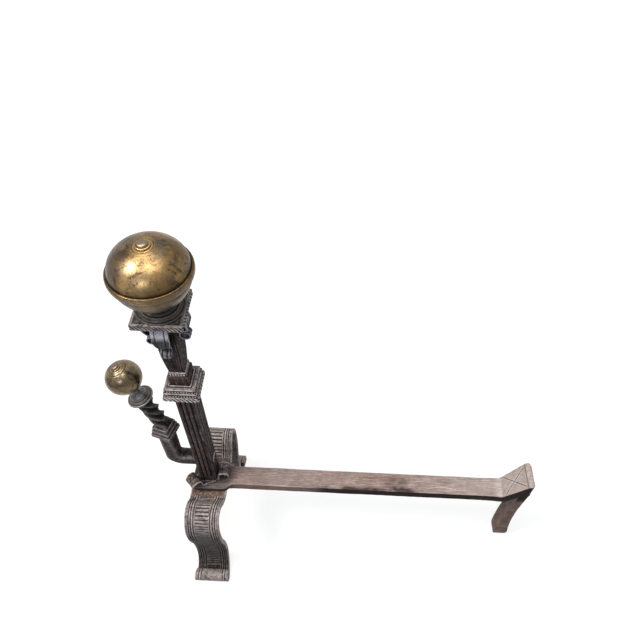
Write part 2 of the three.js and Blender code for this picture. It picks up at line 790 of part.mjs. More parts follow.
function hornLine() {
  const lean = hornLean * degrees;
  const elbow = [-hornReach + elbowRadius, hornHeight + elbowRadius];
  const collar = [-hornReach, hornCollarBottom];
  const leanFrom = [-hornReach, hornCollarTop];
  const top = [leanX - Math.sin(lean) * twistLength, leanZ + Math.cos(lean) * twistLength];
  return [
    [line([-hornStart, hornHeight], [elbow[0], hornHeight]), 1],
    [arc(elbow, elbowRadius, 270, 180), bendSteps],
    [line([-hornReach, elbow[1]], collar), uprightSteps],
    [line(collar, leanFrom), collarSteps],
    [arc([-hornReach - hornBendRadius, hornCollarTop], hornBendRadius, 0, hornLean), leanSteps],
    [line([leanX, leanZ], top), twistSteps],
  ];
}

// A square of half width 1, each side cut into short facets.
function facetedSquare() {
  const points = [];
  for (let face = 0; face < 4; face++) {
    const turn = face * Math.PI / 2;
    for (let i = 0; i < sectionCuts; i++) {
      const along = -1 + 2 * i / sectionCuts;
      const x = along * Math.cos(turn) + Math.sin(turn);
      const y = along * Math.sin(turn) - Math.cos(turn);
      points.push(new THREE.Vector2(x, y));
    }
  }
  return new THREE.Shape(points);
}

// A square bar bent along the line, turned in the collar and twisted above it.
function hornArm() {
  const stations = trace(hornLine());
  const last = stations.length - 1;
  const twistFrom = last - twistSteps;
  const collarFrom = twistFrom - leanSteps - collarSteps;
  const uprightFrom = collarFrom - uprightSteps;
  const half = hornWidth / 2;
  const square = facetedSquare();
  const geometry = new THREE.ExtrudeGeometry(square, { depth: last, steps: last, bevelEnabled: false });
  const position = geometry.attributes.position;
  for (let i = 0; i < position.count; i++) {
    const k = Math.round(position.getZ(i));
    const { point, along } = stations[k];
    const turned = THREE.MathUtils.smoothstep(k, uprightFrom, collarFrom) * hornTurn;
    const twisted = Math.max(0, k - twistFrom) / twistSteps;
    const angle = (turned - twisted * twistAngle) * degrees;
    const fade = Math.min(1, twisted / twistEase, (1 - twisted) / twistEase);
    const edge = Math.min(Math.abs(position.getX(i)), Math.abs(position.getY(i)));
    const drawn = THREE.MathUtils.smoothstep(k, twistFrom - leanSteps, twistFrom);
    const bar = half + (twistWidth / 2 - half) * drawn;
    const reach = bar - twistHollow * fade * (1 - edge * edge);
    const across = position.getX(i) * reach;
    const deep = position.getY(i) * reach;
    const out = across * Math.cos(angle) - deep * Math.sin(angle);
    const side = across * Math.sin(angle) + deep * Math.cos(angle);
    position.setXYZ(i, point.x + along.y * out, side, point.y - along.x * out);
  }
  const tenonEnd = shaftWidth / 2 + gap + armWasherThick + gap;
  const tenon = rod(hornTenonRadius, -hornStart - half, tenonEnd);
  const rivet = dome(armWasherRadius - armWasherThick, hornHeadHeight, tenonEnd);
  const through = join(tenon, rivet).rotate([0, 90, 0]).translate([0, 0, hornHeight]);
  const spindle = rod(hornSpindleRadius, -half, hornSpindleTop);
  const head = dome(hornHeadRadius, hornHeadHeight, hornSpindleTop);
  return join(solid(geometry), through, onHorn(join(spindle, head)));
}

const hornBallBottom = gap + discHeight + hubHeight + gap;
const hornBallHalf = hornBallRadius * hornBallSquash;
const hornBallTop = hornBallBottom + 2 * hornBallHalf;
const hornSpindleTop = hornBallTop + gap + hornWasherThick + gap;

function hornCollar() {
  return collarPile(hornCollarBottom, hornCollarTiers, hornWidth / 2 + gap, collarShoulder)
    .rotate([0, 0, hornTurn]).translate([-hornReach, 0, 0]);
}

function hornDisc() {
  const bore = hornSpindleRadius + holeGap;
  const edge = gap + (discHeight - discRim) / 2;
  const shoulder = gap + discHeight;
  const top = shoulder + hubHeight;
  const neckFrom = shoulder + hubHeight / 2;
  return onHorn(turned([
    [bore, gap], [discHub - moulding, gap], [discRadius - moulding, edge],
    [discRadius, edge + discRim / 2], [discRadius - moulding, edge + discRim],
    [discHub + moulding, edge + discRim + moulding], [discHub, shoulder],
    [(discHub + hubNeck) / 2 + moulding, shoulder + hubHeight / 4], [hubNeck, neckFrom],
    [hubNeck, (neckFrom + top) / 2], [hubLip, top - 2 * moulding], [hubLip - moulding, top],
    [bore, top], [bore, gap],
  ], discSides));
}

function hornBall() {
  const bore = hornSpindleRadius + holeGap;
  const middle = hornBallBottom + hornBallHalf;
  const outer = ovalQuarter(hornBallRadius, hornBallHalf, hornBallEye, hornOuterSteps);
  const inner = hollow(hornBallRadius, hornBallHalf, hornBallEye, hornBallWall, hornInnerSteps);
  const below = (points) => points.map(([radius, height]) => [radius, middle - height]);
  const above = (points) => points.map(([radius, height]) => [radius, middle + height]);
  return onHorn(turned([
    [bore, hornBallBottom], ...below(outer).reverse(), ...above(outer).slice(1),
    [bore, hornBallTop], [bore, hornBallTop - hornBallWall],
    ...above(inner).reverse(), ...below(inner).slice(1),
    [bore, hornBallBottom + hornBallWall], [bore, hornBallBottom],
  ], discSides));
}

function hornWasher() {
  return onHorn(ringWasher(
    hornWasherRadius, hornSpindleRadius + holeGap, hornBallTop + gap, hornWasherThick));
}

function armWasher() {
  const washer = ringWasher(armWasherRadius, hornTenonRadius + holeGap, 0, armWasherThick);
  return washer.rotate([0, 90, 0]).translate([shaftWidth / 2 + gap, 0, hornHeight]);
}

// ---------------------------------------------------------------------------
// Assembly
// ---------------------------------------------------------------------------
const iron = { color: 0x3a3230, roughness: 0.6, metalness: 0.85 };
const barIron = { color: 0x6b5c57, roughness: 0.7, metalness: 0.7 };
const brass = { color: 0x9a7436, roughness: 0.38, metalness: 1 };
const bronze = { color: 0x5c5442, roughness: 0.5, metalness: 0.95 };

const andiron = new THREE.Group();

function add(name, body, finish) {
  const mesh = new THREE.Mesh(geometryOf(body), new THREE.MeshStandardMaterial(finish));
  mesh.name = name;
  andiron.add(mesh);
}

add('leg_arch', legArch(), iron);
add('log_bar', logBar(), barIron);
add('petal_plate', petalPlate(), iron);
add('post', post(), iron);
add('under_washer', ringWasher(
  underWasherRadius, tenonRadius + holeGap, underWasherBottom, underWasherThick), iron);
add('main_collar', mainCollar(), iron);
add('bead_band', beadBand(), iron);
add('cap_plate', capPlate(), iron);
['rear', 'far', 'front', 'near'].forEach((side, i) => {
  const drop = side === 'rear' ? bracketRearDrop : bracketDrop;
  add(`bracket_${side}`, bracket(drop).rotate([0, 0, 90 * i]), iron);
});
add('ball_dish', ballDish(), bronze);
add('ball_neck', ballNeck(), bronze);
add('ball_lower_half', ballLowerHalf(), brass);
add('ball_upper_half', ballUpperHalf(), brass);
add('ball_washer', ringWasher(
  washerRadius, spindleRadius + holeGap, washerBottom, washerThick), brass);
add('horn_arm', hornArm(), iron);
add('horn_arm_washer', armWasher(), iron);
add('horn_collar', hornCollar(), iron);
add('horn_disc', hornDisc(), bronze);
add('horn_ball', hornBall(), brass);
add('horn_washer', hornWasher(), brass);

// The origin is the middle of the whole object's footprint, on the floor.
andiron.updateMatrixWorld(true);
const bounds = new THREE.Box3().setFromObject(andiron);
const middle = bounds.getCenter(new THREE.Vector3());
andiron.position.set(-middle.x, -middle.y, -bounds.min.z);
andiron.updateMatrixWorld(true);

export default andiron;
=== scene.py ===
# A forged andiron with brass balls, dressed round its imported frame. Lengths in the helpers are
# millimetres from the post's axis and the floor; row_frame() turns them into metres.
import math
from functools import cached_property, reduce
import bpy
import bmesh
import numpy as np
from mathutils import Matrix, Vector, noise


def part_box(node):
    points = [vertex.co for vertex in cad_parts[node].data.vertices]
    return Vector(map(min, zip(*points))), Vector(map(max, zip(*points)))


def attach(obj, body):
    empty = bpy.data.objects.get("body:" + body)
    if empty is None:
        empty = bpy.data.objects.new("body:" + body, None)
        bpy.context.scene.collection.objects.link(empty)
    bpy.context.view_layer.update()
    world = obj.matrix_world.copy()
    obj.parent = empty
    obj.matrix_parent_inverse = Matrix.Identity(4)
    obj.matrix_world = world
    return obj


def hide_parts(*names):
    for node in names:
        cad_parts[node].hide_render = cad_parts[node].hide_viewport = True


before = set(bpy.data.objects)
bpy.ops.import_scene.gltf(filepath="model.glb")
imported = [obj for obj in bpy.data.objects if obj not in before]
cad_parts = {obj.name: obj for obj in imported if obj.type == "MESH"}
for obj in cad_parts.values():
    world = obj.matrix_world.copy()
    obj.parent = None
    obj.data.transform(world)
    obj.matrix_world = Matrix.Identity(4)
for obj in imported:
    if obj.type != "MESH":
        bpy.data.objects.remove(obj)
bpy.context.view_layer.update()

MM = 0.001
post_low, post_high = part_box("post")
AXIS_X = (post_low[0] + post_high[0]) / 2


def add_object(name, data):
    obj = bpy.data.objects.new(name, data)
    bpy.context.scene.collection.objects.link(obj)
    return obj


# --- Node trees ---
class Nodes:
    """Short names for building the node tree of a material or of the world."""

    def __init__(self, owner):
        owner.use_nodes = True
        self.tree = owner.node_tree
        self.tree.nodes.clear()

    @cached_property
    def place(self):
        return self.add("TexCoord").outputs["Object"]

    def feed(self, value, socket):
        """Joins a socket to another node's output, or gives it a constant."""
        if isinstance(value, bpy.types.NodeSocket):
            self.tree.links.new(value, socket)
        elif isinstance(value, tuple) and socket.type == "RGBA":
            socket.default_value = (*value, 1)
        else:
            socket.default_value = value

    def add(self, kind, inputs=None, **settings):
        node = self.tree.nodes.new("ShaderNode" + kind)
        for key, value in settings.items():
            setattr(node, key, value)
        for key, value in (inputs or {}).items():
            self.feed(value, node.inputs[key])
        return node

    def noise(self, scale, detail, rough, stretch=None, distortion=0.0):
        place = self.place
        if stretch:
            place = self.add("Mapping", {"Vector": place, "Scale": stretch}).outputs[0]
        return self.add("TexNoise", {
            "Vector": place, "Scale": scale, "Detail": detail, "Roughness": rough,
            "Distortion": distortion}).outputs["Fac"]

    def ramp(self, value, low, high, first=0.0, last=1.0):
        node = self.add("ValToRGB", {"Fac": value})
        for element, position, grey in zip(node.color_ramp.elements, (low, high), (first, last)):
            element.position = position
            element.color = (grey, grey, grey, 1)
        return node.outputs["Color"]

    def mix(self, factor, first, second):
        return self.add("Mix", {0: factor, 6: first, 7: second}, data_type="RGBA").outputs[2]

    def math(self, operation, first, second):
        return self.add("Math", {0: first, 1: second}, operation=operation).outputs[0]

    def attribute(self, name):
        return self.add("Attribute", attribute_name=name).outputs["Fac"]

    def bumps(self, *layers):
        """A normal from layers of (height, distance, strength), the coarsest first."""
        normal = None
        for height, distance, strength in layers:
            node = self.add("Bump", {"Height": height, "Distance": distance, "Strength": strength})
            if normal is not None:
                self.feed(normal, node.inputs["Normal"])
            normal = node.outputs[0]
        return normal


# --- Camera, lamps, floor ---
IMAGE = 640
SENSOR = 36.0
FOCAL_PIXELS = 587.46
PITCH, ROLL, YAW = math.radians(49.886), math.radians(2.54), math.radians(-0.18)
EYE = Vector((0.17801, -0.38843, 1.02059))
CENTRE_PIXEL = (332.85, 315.23)
WHITE = (1, 1, 1)
WORLD_FILL = 0.17
FILL_COLOUR = (0.93, 0.96, 1.0)
FLOOR_HALF = 4.0
FLOOR_GREY = (0.3, 0.3, 0.3)
# The floor's own light, near the andiron and far from it, and the distances where it starts and
# ends to change, in metres.
FLOOR_LIFT = 0.75
FAR_LIFT = 1.0
LIFT_FROM, LIFT_TO = 0.5, 1.8
LAMPS = (
    # name, place, target, size, power in watts, colour
    ("key", (-1.04, -0.33, 1.83), (-0.1, 0, 0.25), 0.5, 26, (1.0, 0.98, 0.95)),
    ("window", (-0.41, -1.42, 1.32), (-0.2, 0, 0.4), 0.24, 9, (0.78, 0.88, 1.0)),
    ("room", (0.0, -0.1, 2.0), (0.05, 0, 0.1), 1.2, 26, (1.0, 0.985, 0.96)),
)


def make_camera():
    data = bpy.data.cameras.new("camera")
    camera = add_object("camera", data)
    forward = Vector((
        math.sin(YAW) * math.cos(PITCH), math.cos(YAW) * math.cos(PITCH), -math.sin(PITCH)))
    level = Vector((math.cos(YAW), -math.sin(YAW), 0))
    upward = level.cross(forward)
    right = math.cos(ROLL) * level + math.sin(ROLL) * upward
    up = -math.sin(ROLL) * level + math.cos(ROLL) * upward
    turn = Matrix((right, up, -forward)).transposed().to_4x4()
    camera.matrix_world = Matrix.Translation(EYE + Vector((AXIS_X, 0, 0))) @ turn
    data.sensor_fit = "HORIZONTAL"
    data.sensor_width = SENSOR
    data.lens = FOCAL_PIXELS / IMAGE * SENSOR
    data.shift_x = (IMAGE / 2 - CENTRE_PIXEL[0]) / IMAGE
    data.shift_y = (CENTRE_PIXEL[1] - IMAGE / 2) / IMAGE
    bpy.context.scene.camera = camera


def make_lamp(name, place, target, size, power, colour):
    data = bpy.data.lights.new(name, "AREA")
    data.shape = "DISK"
    data.size = size
    data.energy = power
    data.color = colour
    lamp = add_object(name, data)
    lamp.location = place
    lamp.rotation_mode = "QUATERNION"
    lamp.rotation_quaternion = (Vector(target) - Vector(place)).to_track_quat("-Z", "Y")


def background_rays(n):
    """1 for the rays that should meet the white background, 0 for those that carry light."""
    rays = n.add("LightPath").outputs
    reflected = n.math("MAXIMUM", rays["Is Glossy Ray"], rays["Is Transmission Ray"])
    return n.math("MAXIMUM", rays["Is Camera Ray"], reflected)


def make_studio():
    scene = bpy.context.scene
    scene.view_settings.view_transform = "Standard"
    scene.world = bpy.data.worlds.new("studio")
    n = Nodes(scene.world)
    seen = n.add("Background", {"Color": WHITE, "Strength": 1.0})
    fill = n.add("Background", {"Color": FILL_COLOUR, "Strength": WORLD_FILL})
    mix = n.add("MixShader", {"Fac": background_rays(n), 1: fill.outputs[0], 2: seen.outputs[0]})
    n.add("OutputWorld", {"Surface": mix.outputs[0]})

    for lamp in LAMPS:
        make_lamp(*lamp)

    corners = ((-1, -1), (1, -1), (1, 1), (-1, 1))
    floor_mesh = bpy.data.meshes.new("floor")
    floor_mesh.from_pydata(
        [(x * FLOOR_HALF, y * FLOOR_HALF, 0) for x, y in corners], [], [(0, 1, 2, 3)])
    floor = add_object("floor", floor_mesh)
    material = bpy.data.materials.new("floor")
    n = Nodes(material)
    paper = n.add("BsdfDiffuse", {"Color": FLOOR_GREY})
    away = n.add("VectorMath", {0: n.place}, operation="LENGTH")
    fade = n.add("MapRange", {
        "Value": away.outputs["Value"], "From Min": LIFT_FROM, "From Max": LIFT_TO,
        "To Min": FLOOR_LIFT, "To Max": FAR_LIFT})
    strength = n.math("MULTIPLY", background_rays(n), fade.outputs["Result"])
    lift = n.add("Emission", {"Color": WHITE, "Strength": strength})
    both = n.add("AddShader", {0: paper.outputs[0], 1: lift.outputs[0]})
    n.add("OutputMaterial", {"Surface": both.outputs[0]})
    floor_mesh.materials.append(material)


# --- Materials ---
# The black of the iron's hollows, and of the shade painted on it.
SOOT_AND_SHADE = (0.0045, 0.0035, 0.0035)


def scaled(colour, amount):
    return tuple(min(1.0, part * amount) for part in colour)


def iron_material(name, dark, middle, pale, rust, specular, gloss, rust_from=0.53,
                  grain_scale=260, stretch=None, blotch=0.4):
    """Hand-forged iron: black in its hollows and where shade is painted, brown between, and pale on its
    rubbed ridges and where sheen and light are painted.
    """
    material = bpy.data.materials.new(name)
    n = Nodes(material)
    broad = n.noise(28, 5, 0.62)
    patch = n.noise(110, 6, 0.7, None, 0.5)
    fine = n.noise(grain_scale, 6, 0.75, stretch, 0.3)
    grain = n.noise(grain_scale * 3, 4, 0.7, stretch)
    speck = n.math("ADD", n.math("MULTIPLY", fine, 0.6), n.math("MULTIPLY", grain, 0.4))
    mottle = n.math("ADD", n.math("MULTIPLY", patch, blotch), n.math("MULTIPLY", speck, 1 - blotch))
    body = n.mix(n.ramp(mottle, 0.46, 0.55), dark, middle)
    stain = n.math("MAXIMUM", n.ramp(broad, rust_from, rust_from + 0.14, 0.0, 0.8), n.attribute("rust"))
    rusty = n.mix(stain, body, n.mix(n.ramp(speck, 0.42, 0.6), scaled(rust, 0.35), rust))
    scuffed = n.mix(n.ramp(speck, 0.54, 0.62, 0.0, 0.6), rusty, pale)
    # Ridge marks pale the iron for rubbed wear and also for painted sheen and painted light.
    pale_mark = n.attribute("ridge")
    pale_share = n.math("MULTIPLY", pale_mark, n.ramp(mottle, 0.4, 0.54, 0.15, 1.0))
    coloured = n.mix(pale_share, scuffed, pale)
    tips = n.mix(n.ramp(pale_mark, 0.8, 1.0, 0.0, 0.55), coloured, scaled(pale, 1.7))
    # Hollow marks blacken the iron for the patina in its hollows and also for painted shade.
    hollow = n.attribute("hollow")
    polish = n.ramp(mottle, 0.38, 0.6, gloss[1], gloss[0])
    shader = n.add("BsdfPrincipled", {
        "Base Color": n.mix(n.math("MULTIPLY", hollow, 0.94), tips, SOOT_AND_SHADE),
        "Roughness": n.math("MAXIMUM", polish, n.math("MULTIPLY", hollow, 0.95)),
        "Specular IOR Level": specular,
        "Normal": n.bumps(
            (broad, 0.0012, 0.5), (patch, 0.0009, 0.6), (fine, 0.0004, 0.7), (grain, 0.00015, 0.7))})
    n.add("OutputMaterial", {"Surface": shader.outputs[0]})
    return material


def brass_material(name, bright, brown, dark, grey, spots, roughness, metallic=1.0, cloud_scale=16):
    """Old brass: golden where it is rubbed, brown and grey with patina, dark in its specks, and darkened
    by soot, by grime in its hollows and by painted shade.
    """
    material = bpy.data.materials.new(name)
    n = Nodes(material)
    cloud = n.noise(cloud_scale, 6, 0.66, None, 0.5)
    smoke = n.noise(cloud_scale * 1.9, 6, 0.68, (1.0, 1.0, 1.6), 0.8)
    streak = n.noise(70, 7, 0.74, None, 0.6)
    speck = n.noise(240, 5, 0.75)
    body = n.mix(n.ramp(cloud, 0.4, 0.57), bright, brown)
    smoked = n.mix(n.ramp(smoke, 0.5, 0.62, 0.0, 0.8), body, grey)
    patches = n.mix(n.ramp(streak, 0.52, 0.62, 0.0, 0.8), smoked, dark)
    specked = n.mix(n.ramp(speck, 0.56, 0.63, 0.0, spots), patches, dark)
    # The rust mark darkens it with soot, and on the great ball also with painted shade along the rim.
    soot_and_rim_shade = n.math("MULTIPLY", n.attribute("rust"), n.ramp(streak, 0.38, 0.55, 0.25, 1.0))
    sooted_and_rim_shaded = n.mix(soot_and_rim_shade, specked, n.mix(n.ramp(speck, 0.42, 0.58), dark, grey))
    # Hollow marks darken it for the grime in its hollows and also for painted shade.
    grime_and_shade = n.mix(n.math("MULTIPLY", n.attribute("hollow"), 0.85), sooted_and_rim_shaded, scaled(dark, 0.4))
    rubbed = n.math("MULTIPLY", n.attribute("ridge"), 0.5)
    shader = n.add("BsdfPrincipled", {
        "Base Color": n.mix(rubbed, grime_and_shade, scaled(bright, 1.2)),
        "Roughness": n.ramp(streak, 0.35, 0.65, *roughness),
        "Metallic": metallic,
        "Normal": n.bumps(
            (n.noise(45, 3, 0.5), 0.0009, 0.4), (streak, 0.0003, 0.6), (speck, 0.0001, 0.7))})
    n.add("OutputMaterial", {"Surface": shader.outputs[0]})
    return material


# --- Amounts and noise ---
def unit(amount):
    return np.clip(amount, 0, 1)


def most(*amounts):
    """The largest of several amounts, point by point."""
    return reduce(np.maximum, amounts)


def groove(distance, width):
    """0 to 1: how deep a round-bottomed groove is at a distance from its middle."""
    return unit(1 - (abs(distance) / width) ** 2)


def bell(distance, width):
    """1 in the middle, fading smoothly to almost nothing at twice the width."""
    return np.exp(-(distance / width) ** 2)


def step_in(x, low, high):
    t = unit((x - low) / (high - low))
    return t * t * (3 - 2 * t)


def edges(side, half, width, amount):
    """Wear along the two long edges of a face."""
    return step_in(abs(side), half - width, half) * amount


def field(*coordinates):
    """Smooth noise at many points. Each of the three coordinates is an array or a number."""
    spread = np.broadcast_arrays(*coordinates)
    points = zip(*(part.ravel().tolist() for part in spread))
    return np.reshape([noise.noise(point) for point in points], spread[0].shape)


# --- Meshes ---
MERGE = 1e-6


def row_frame(points):
    points = np.asarray(points, float) * MM
    points[..., 0] += AXIS_X
    return points


def finish_piece(obj, material, slot, node):
    obj.data.materials.clear()
    obj.data.materials.append(material)
    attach(obj, "root")
    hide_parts(node)


def set_marks(mesh, marks):
    """Stores each vertex's rubbed ridge and painted light, its dark hollow and painted shade, and its
    stain, which on the great ball also holds painted shade along the rim.
    """
    for key in ("ridge", "hollow", "rust"):
        values = marks.get(key, np.zeros(len(mesh.vertices)))
        mesh.attributes.new(key, "FLOAT", "POINT").data.foreach_set("value", np.ravel(values))


def loft(name, look, rings, marks, closed=False):
    """A piece whose skin runs over rings of points, an (n, m, 3) array. Open ones are capped at both
    ends. look, here and below, is a piece's material, slot and CAD node; the slot is not used."""
    count, size = rings.shape[:2]
    index = np.arange(count * size).reshape(count, size)
    first = index if closed else index[:-1]
    second = np.roll(index, -1, axis=0) if closed else index[1:]
    quads = np.stack([first, np.roll(first, -1, axis=1), np.roll(second, -1, axis=1), second], axis=-1)
    faces = quads.reshape(-1, 4).tolist()
    if not closed:
        faces.append(index[0][::-1].tolist())
        faces.append(index[-1].tolist())
    mesh = bpy.data.meshes.new(name)
    mesh.from_pydata(row_frame(rings.reshape(-1, 3)).tolist(), [], faces)
    set_marks(mesh, marks)
    work = bmesh.new()
    work.from_mesh(mesh)
    bmesh.ops.remove_doubles(work, verts=work.verts, dist=MERGE)
    bmesh.ops.recalc_face_normals(work, faces=work.faces)
    work.to_mesh(mesh)
    work.free()
    mesh.shade_smooth()
    finish_piece(add_object(name, mesh), *look)


# --- Lines and profiles ---
OUT, UP = 0, 1
CURVE_STEPS = 60
QUARTER_PULL = 0.5523
CORNER_SHARE = 0.42


def fillet(points, radius, steps=3, closed=False):
    """A polyline with its corners rounded."""
    points = [np.array(p, float) for p in points]
    result = []
    count = len(points)
    for i, point in enumerate(points):
        if not closed and i in (0, count - 1):
            result.append(point)
            continue
        back, on = points[i - 1] - point, points[(i + 1) % count] - point
        start = point + back * min(CORNER_SHARE, radius / np.linalg.norm(back))
        end = point + on * min(CORNER_SHARE, radius / np.linalg.norm(on))
        for k in range(steps + 1):
            t = k / steps
            result.append((1 - t) ** 2 * start + 2 * t * (1 - t) * point + t * t * end)
    return np.array(result)


def dense(points, step):
    """A polyline with no stretch longer than a step."""
    points = np.array(points, float)
    result = [points[0]]
    for a, b in zip(points[:-1], points[1:]):
        pieces = max(1, math.ceil(np.linalg.norm(b - a) / step))
        result.extend(a + (b - a) * k / pieces for k in range(1, pieces + 1))
    return np.array(result)


def rounded(points, radius, step, steps=3):
    """A closed outline with rounded corners, and points no more than a step apart."""
    outline = fillet(points, radius, steps, True)
    return dense(np.vstack([outline, outline[:1]]), step)[:-1]


def curve(a, d, leaves, arrives, pull):
    """A smooth curve from a to d that leaves and arrives along the given axes."""
    a, d = np.array(a, float), np.array(d, float)
    run = (d - a) * pull
    b, c = a.copy(), d.copy()
    b[leaves] += run[leaves]
    c[arrives] -= run[arrives]
    t = np.linspace(0, 1, CURVE_STEPS + 1)[:, None]
    return (1 - t) ** 3 * a + 3 * t * (1 - t) ** 2 * b + 3 * t * t * (1 - t) * c + t ** 3 * d


def quarter(a, d, leaves):
    return curve(a, d, leaves, 1 - leaves, QUARTER_PULL)


def ess(a, d, axis):
    return curve(a, d, axis, axis, 0.5)


def arc(centre, radius, start, end, steps=90):
    angles = np.radians(np.linspace(start, end, steps + 1))
    return np.stack([centre[0] + radius * np.cos(angles), centre[1] + radius * np.sin(angles)], axis=1)


def chain(*curves):
    return np.concatenate([curves[0]] + [curve[1:] for curve in curves[1:]])


def even(points, step):
    """The same line with evenly spaced points, its directions, and the length run so far."""
    lengths = np.concatenate([[0], np.cumsum(np.linalg.norm(np.diff(points, axis=0), axis=1))])
    count = max(2, round(lengths[-1] / step))
    run = np.linspace(0, lengths[-1], count + 1)
    line = np.stack([np.interp(run, lengths, points[:, k]) for k in (OUT, UP)], axis=1)
    along = np.gradient(line, axis=0)
    along /= np.linalg.norm(along, axis=1)[:, None]
    return line, along, run


def profile_marks(profile, sharp=0.35):
    """Ridge and hollow amounts from how a closed profile turns at each of its points."""
    reach = 2
    before = profile - np.roll(profile, reach, axis=0)
    after = np.roll(profile, -reach, axis=0) - profile
    cross = before[:, 0] * after[:, 1] - before[:, 1] * after[:, 0]
    turn = cross / (np.linalg.norm(before, axis=1) * np.linalg.norm(after, axis=1) + 1e-9)
    following = np.roll(profile, -1, axis=0)
    area = np.sum(profile[:, 0] * following[:, 1] - following[:, 0] * profile[:, 1])
    turn *= math.copysign(1, area)
    return {"ridge": unit(turn / sharp), "hollow": unit(-turn / sharp)}


# --- Straps, turned pieces, square piles, forged pieces ---
STRAP_CORNER = 4
CORNER_WEAR = 0.7


def facing(angle):
    """Turns a strap's (outwards, up, side) about the post, by an angle in degrees."""
    c, s = math.cos(math.radians(angle)), math.sin(math.radians(angle))
    return lambda out, up, side: (out * c - side * s, out * s + side * c, up)


def strap(name, look, path, width, thick, carve_out, carve_in, place, across, edge, rust=None):
    """A flat bar along a plane line. carve_* give the depth cut from each face, and its marks.

    path is what even() gives, and width and thick are arrays along it. place turns (first, second,
    side) into x, y, z.
    """
    v = np.linspace(-1, 1, across)
    round_edge = (np.arange(STRAP_CORNER) + 0.5) / STRAP_CORNER * math.pi
    c, s = np.cos(round_edge), np.sin(round_edge)
    pale_mark, clean = np.full(STRAP_CORNER, CORNER_WEAR), np.zeros(STRAP_CORNER)
    rings, ridge, hollow = [], [], []
    for point, way, at, half, depth in zip(*path, width / 2, thick / 2):
        soft = min(edge, depth * 0.8)
        flat = half - soft
        cut, up, down = carve_out(at, v * half, half)
        cut_in, up_in, down_in = carve_in(at, -v * half, half)
        lift = np.concatenate([depth - cut, depth * c, cut_in - depth, -depth * c])
        side = np.concatenate([v * flat, flat + soft * s, -v * flat, -flat - soft * s])
        rings.append(np.stack(place(point[0] - way[1] * lift, point[1] + way[0] * lift, side), axis=1))
        ridge.append(np.concatenate([up, pale_mark, up_in, pale_mark]))
        hollow.append(np.concatenate([down, clean, down_in, clean]))
    marks = {"ridge": ridge, "hollow": hollow}
    if rust is not None:
        marks["rust"] = np.repeat(rust, len(ridge[0]))
    loft(name, look, np.array(rings), marks)


def lathe(name, look, profile, sides, place=None, marks=None, stain=None, closed=True):
    """A profile of (radius, height) turned about Z. place moves the points afterwards, and
    stain(x, y, z) gives how sooty the piece is there, and on the great ball painted shade by its rim."""
    profile = np.asarray(profile, float)
    angles = np.linspace(0, 2 * math.pi, sides, endpoint=False)
    rings = np.zeros((len(profile), sides, 3))
    rings[..., 0] = profile[:, :1] * np.cos(angles)
    rings[..., 1] = profile[:, :1] * np.sin(angles)
    rings[..., 2] = profile[:, 1:]
    if place is not None:
        rings = place(rings)
    full = {key: np.repeat(values, sides) for key, values in (marks or {}).items()}
    if stain is not None:
        full["rust"] = stain(rings[..., 0], rings[..., 1], rings[..., 2])
    loft(name, look, rings, full, closed)


def turned(name, look, points, radius, sides, place=None, step=0.6):
    """A turned ring with rounded corners, pale on its edges and dark in its grooves."""
    profile = rounded(points, radius, step)
    lathe(name, look, profile, sides, place, profile_marks(profile))


def peened(name, look, radius, height, level, stem, place=None, up=1):
    """A hammered rivet head on a short stem."""
    steps = 14
    neck = radius * 0.62
    points = [(0.0, level - up * stem), (neck, level - up * stem), (neck, level)]
    for k in range(steps):
        a = k / steps * math.pi / 2
        points.append((radius * math.cos(a) ** 0.5, level + up * height * math.sin(a)))
    points.append((0.0, level + up * height))
    lathe(name, look, points, 40, place, closed=False)


def square_pile(name, look, profile, pattern, samples, corner, least=0.0, turn=0.0, centre=(0, 0),
                closed=True):
    """A profile of (half width, height) as a square pile. pattern(level, along, half) gives what
    each face gains outwards, and its marks. It is left out where the pile is thinner than least."""
    profile = np.asarray(profile, float)
    rings = np.zeros((len(profile), 4, samples, 3))
    ridge, hollow = np.zeros((2, len(profile), 4, samples))
    t = (np.arange(samples) + 0.5) / samples * 2 - 1
    c, s = math.cos(math.radians(turn)), math.sin(math.radians(turn))
    flat = dict.fromkeys(("ridge", "hollow"), np.zeros(len(profile)))
    base = profile_marks(profile) if closed else flat
    for i, (half, level) in enumerate(profile):
        gain, up, down = pattern(level, t * half, half) if half >= least else (0.0, 0.0, 0.0)
        pull = unit((abs(t) * half - (half - corner)) / corner) ** 2 * corner * 0.35
        out = half + gain - pull
        ridge[i] = unit(most(up, base["ridge"][i] * 0.8))
        hollow[i] = unit(most(down, base["hollow"][i] * 0.8))
        for face in range(4):
            a = face * math.pi / 2
            x = t * half * math.cos(a) + out * math.sin(a)
            y = t * half * math.sin(a) - out * math.cos(a)
            rings[i, face, :, 0] = centre[0] + x * c - y * s
            rings[i, face, :, 1] = centre[1] + x * s + y * c
            rings[i, face, :, 2] = level
    rings = rings.reshape(len(profile), 4 * samples, 3)
    loft(name, look, rings, {"ridge": ridge, "hollow": hollow}, closed)


VOXEL = 1.0
SMOOTHING = 4
HAMMERED = 0.7


